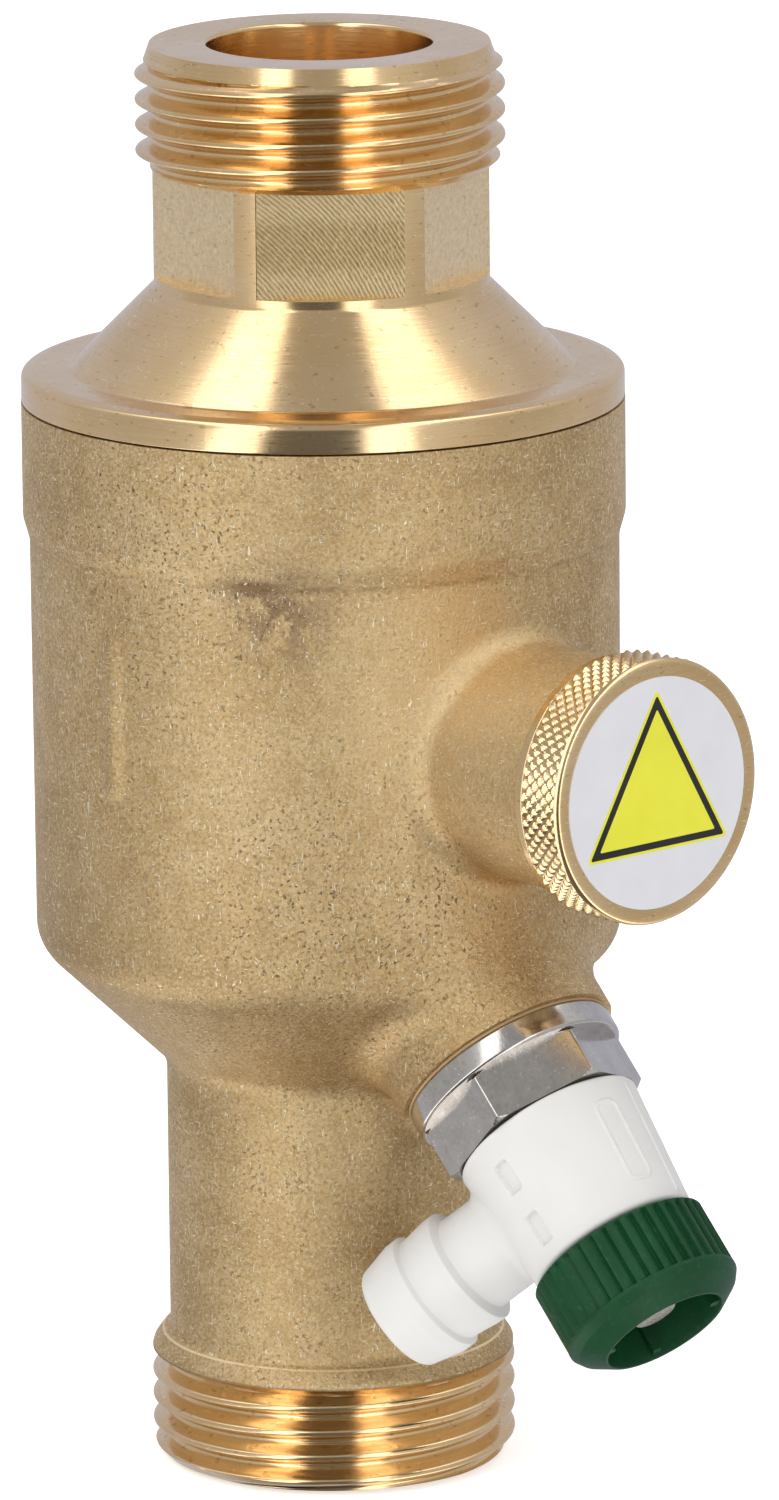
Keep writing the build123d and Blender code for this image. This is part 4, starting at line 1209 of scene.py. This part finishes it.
# ---- pieces
PIECES = [
    (make_casting, "housing", "cast_brass", "filter_body"),
    (make_lower_thread, "housing", "machined_brass"),
    (make_connector, "housing", "machined_brass", "top_connector"),
    (make_cap, "cap", "machined_brass", "magnet_cap"),
    (make_label, "cap", "label_film", "cap_label"),
    (make_gasket, "housing", "gasket_fibre", "drain_gasket"),
    (make_drain_base, "housing", "nickel_plate", "drain_base"),
    (make_barrel, "outlet", "white_plastic", "valve_body"),
    (make_nozzle, "outlet", "white_plastic"),
    (make_knob, "knob", "green_plastic", "drain_knob"),
]
for make, body, slot, *replaced in PIECES:
    place(make(MATERIALS[slot]), body, slot, *replaced)


# ---- floor, lights and camera
def make_floor():
    """A plain pale floor under the filter."""
    bm = bmesh.new()
    bmesh.ops.create_grid(bm, x_segments=8, y_segments=8, size=1.6)
    mesh = bpy.data.meshes.new("floor")
    bm.to_mesh(mesh)
    bm.free()
    floor = linked("floor", mesh)
    floor.location.z = -0.0002
    n = Nodes("floor_white")
    tone = n.ramp(n.noise(0.01, 2, 0.5), (0.3, (0.86, 0.86, 0.86)), (0.7, (0.88, 0.88, 0.88)))
    n.set(Base_Color=tone, Roughness=0.9)
    n.set(Emission_Color=(1, 1, 1, 1), Emission_Strength=0.5)
    mesh.materials.append(n.material)
    floor.visible_glossy = False


def make_light(name, azimuth, elevation, distance, size, power, aim=(0, 0, 0.066)):
    """A rectangular soft box round the object; azimuth 0 is on the camera's side of the pipe."""
    light = bpy.data.lights.new(name, "AREA")
    light.shape = "RECTANGLE"
    light.size, light.size_y = size
    light.energy = power
    obj = linked(name, light)
    a = math.radians(azimuth) + CAMERA_AZIMUTH
    e = math.radians(elevation)
    away = Vector((math.cos(a) * math.cos(e), math.sin(a) * math.cos(e), math.sin(e)))
    obj.location = Vector(aim) + away * distance
    obj.rotation_mode = "QUATERNION"
    obj.rotation_quaternion = (-away).to_track_quat("-Z", "Y")
    obj.visible_glossy = False


CAMERA_AZIMUTH = math.radians(-41.15)
CAMERA_DISTANCE = 1018.77
CAMERA_ELEVATION = math.radians(13.10)
CAMERA_ROLL = math.radians(-0.557)
CAMERA_TARGET_SIDE = 5.666
CAMERA_TARGET_Z = 65.49
CAMERA_LENS = 269.3


def make_camera():
    """The camera at the photograph's viewing angle."""
    side = Vector((-math.sin(CAMERA_AZIMUTH), math.cos(CAMERA_AZIMUTH), 0))
    outward = Vector((math.cos(CAMERA_AZIMUTH), math.sin(CAMERA_AZIMUTH), 0))
    back = outward * math.cos(CAMERA_ELEVATION) + Vector((0, 0, math.sin(CAMERA_ELEVATION)))
    up = back.cross(side)
    right = side * math.cos(CAMERA_ROLL) + up * math.sin(CAMERA_ROLL)
    up = -side * math.sin(CAMERA_ROLL) + up * math.cos(CAMERA_ROLL)
    target = side * CAMERA_TARGET_SIDE + Vector((0, 0, CAMERA_TARGET_Z))
    matrix = Matrix((right, up, back)).transposed().to_4x4()
    matrix.translation = (target + back * CAMERA_DISTANCE) * MM
    data = bpy.data.cameras.new("camera")
    data.lens = CAMERA_LENS
    data.sensor_width = 36
    data.clip_start, data.clip_end = 0.05, 20
    camera = linked("camera", data)
    camera.matrix_world = matrix
    bpy.context.scene.camera = camera


LIGHT_PEAK = 2.3
LIGHT_BANDS = [
    (-1.00, 0.50),
    (-0.80, 0.62),
    (-0.70, 0.75),
    (-0.65, 2.30),
    (-0.42, 2.30),
    (-0.38, 0.15),
    (0.24, 0.15),
    (0.29, 2.10),
    (0.53, 2.10),
    (0.58, 0.75),
    (0.80, 0.66),
    (1.00, 0.50),
]
LIGHT_HORIZON = -0.22
LIGHT_LEAN = 0.16
LIGHT_OVERHEAD = 0.42
LIGHT_BEHIND = (0.56, 0.57, 0.65)


def make_world():
    """A studio of long soft boxes overhead on both sides of the camera, dark between them."""
    world = bpy.data.worlds.new("studio")
    world.use_nodes = True
    n = Tree(world.node_tree)
    direction = n.add("ShaderNodeTexCoord").outputs["Generated"]

    def along(vector):
        inputs = {0: direction, 1: vector}
        return n.add("ShaderNodeVectorMath", inputs, operation="DOT_PRODUCT").outputs["Value"]

    sideways = along((-math.sin(CAMERA_AZIMUTH), math.cos(CAMERA_AZIMUTH), 0))
    away = along((-math.cos(CAMERA_AZIMUTH), -math.sin(CAMERA_AZIMUTH), 0))
    upwards = along((0, 0, 1))
    left = n.math("LESS_THAN", sideways, 0.0)
    lean = n.math("MULTIPLY", n.level(upwards, LIGHT_HORIZON, 0.90), left)
    lean = n.math("MULTIPLY", lean, LIGHT_LEAN)
    across = n.level(n.math("SUBTRACT", sideways, lean), -1, 1)
    stops = [((at + 1) / 2, (level / LIGHT_PEAK,) * 3) for at, level in LIGHT_BANDS]
    lifted = n.level(upwards, LIGHT_HORIZON, 0.40)
    overhead = n.math("MULTIPLY", lifted, LIGHT_OVERHEAD / LIGHT_PEAK)
    level = n.math("MAXIMUM", n.ramp(across, *stops), overhead)
    behind = tuple(c / LIGHT_PEAK for c in LIGHT_BEHIND)
    seen = n.add("ShaderNodeLightPath").outputs["Is Camera Ray"]
    colour = n.mix(n.level(away, 0.15, 0.6), level, behind)
    colour = n.mix(seen, colour, (1 / LIGHT_PEAK,) * 3)
    background = n.tree.nodes["Background"]
    n.put(colour, background.inputs["Color"])
    n.put(LIGHT_PEAK, background.inputs["Strength"])
    bpy.context.scene.world = world


bpy.context.scene.view_settings.view_transform = "Standard"
make_floor()
make_world()
make_light("key", -40, 50, 0.9, (0.5, 0.5), 2.0)
make_camera()
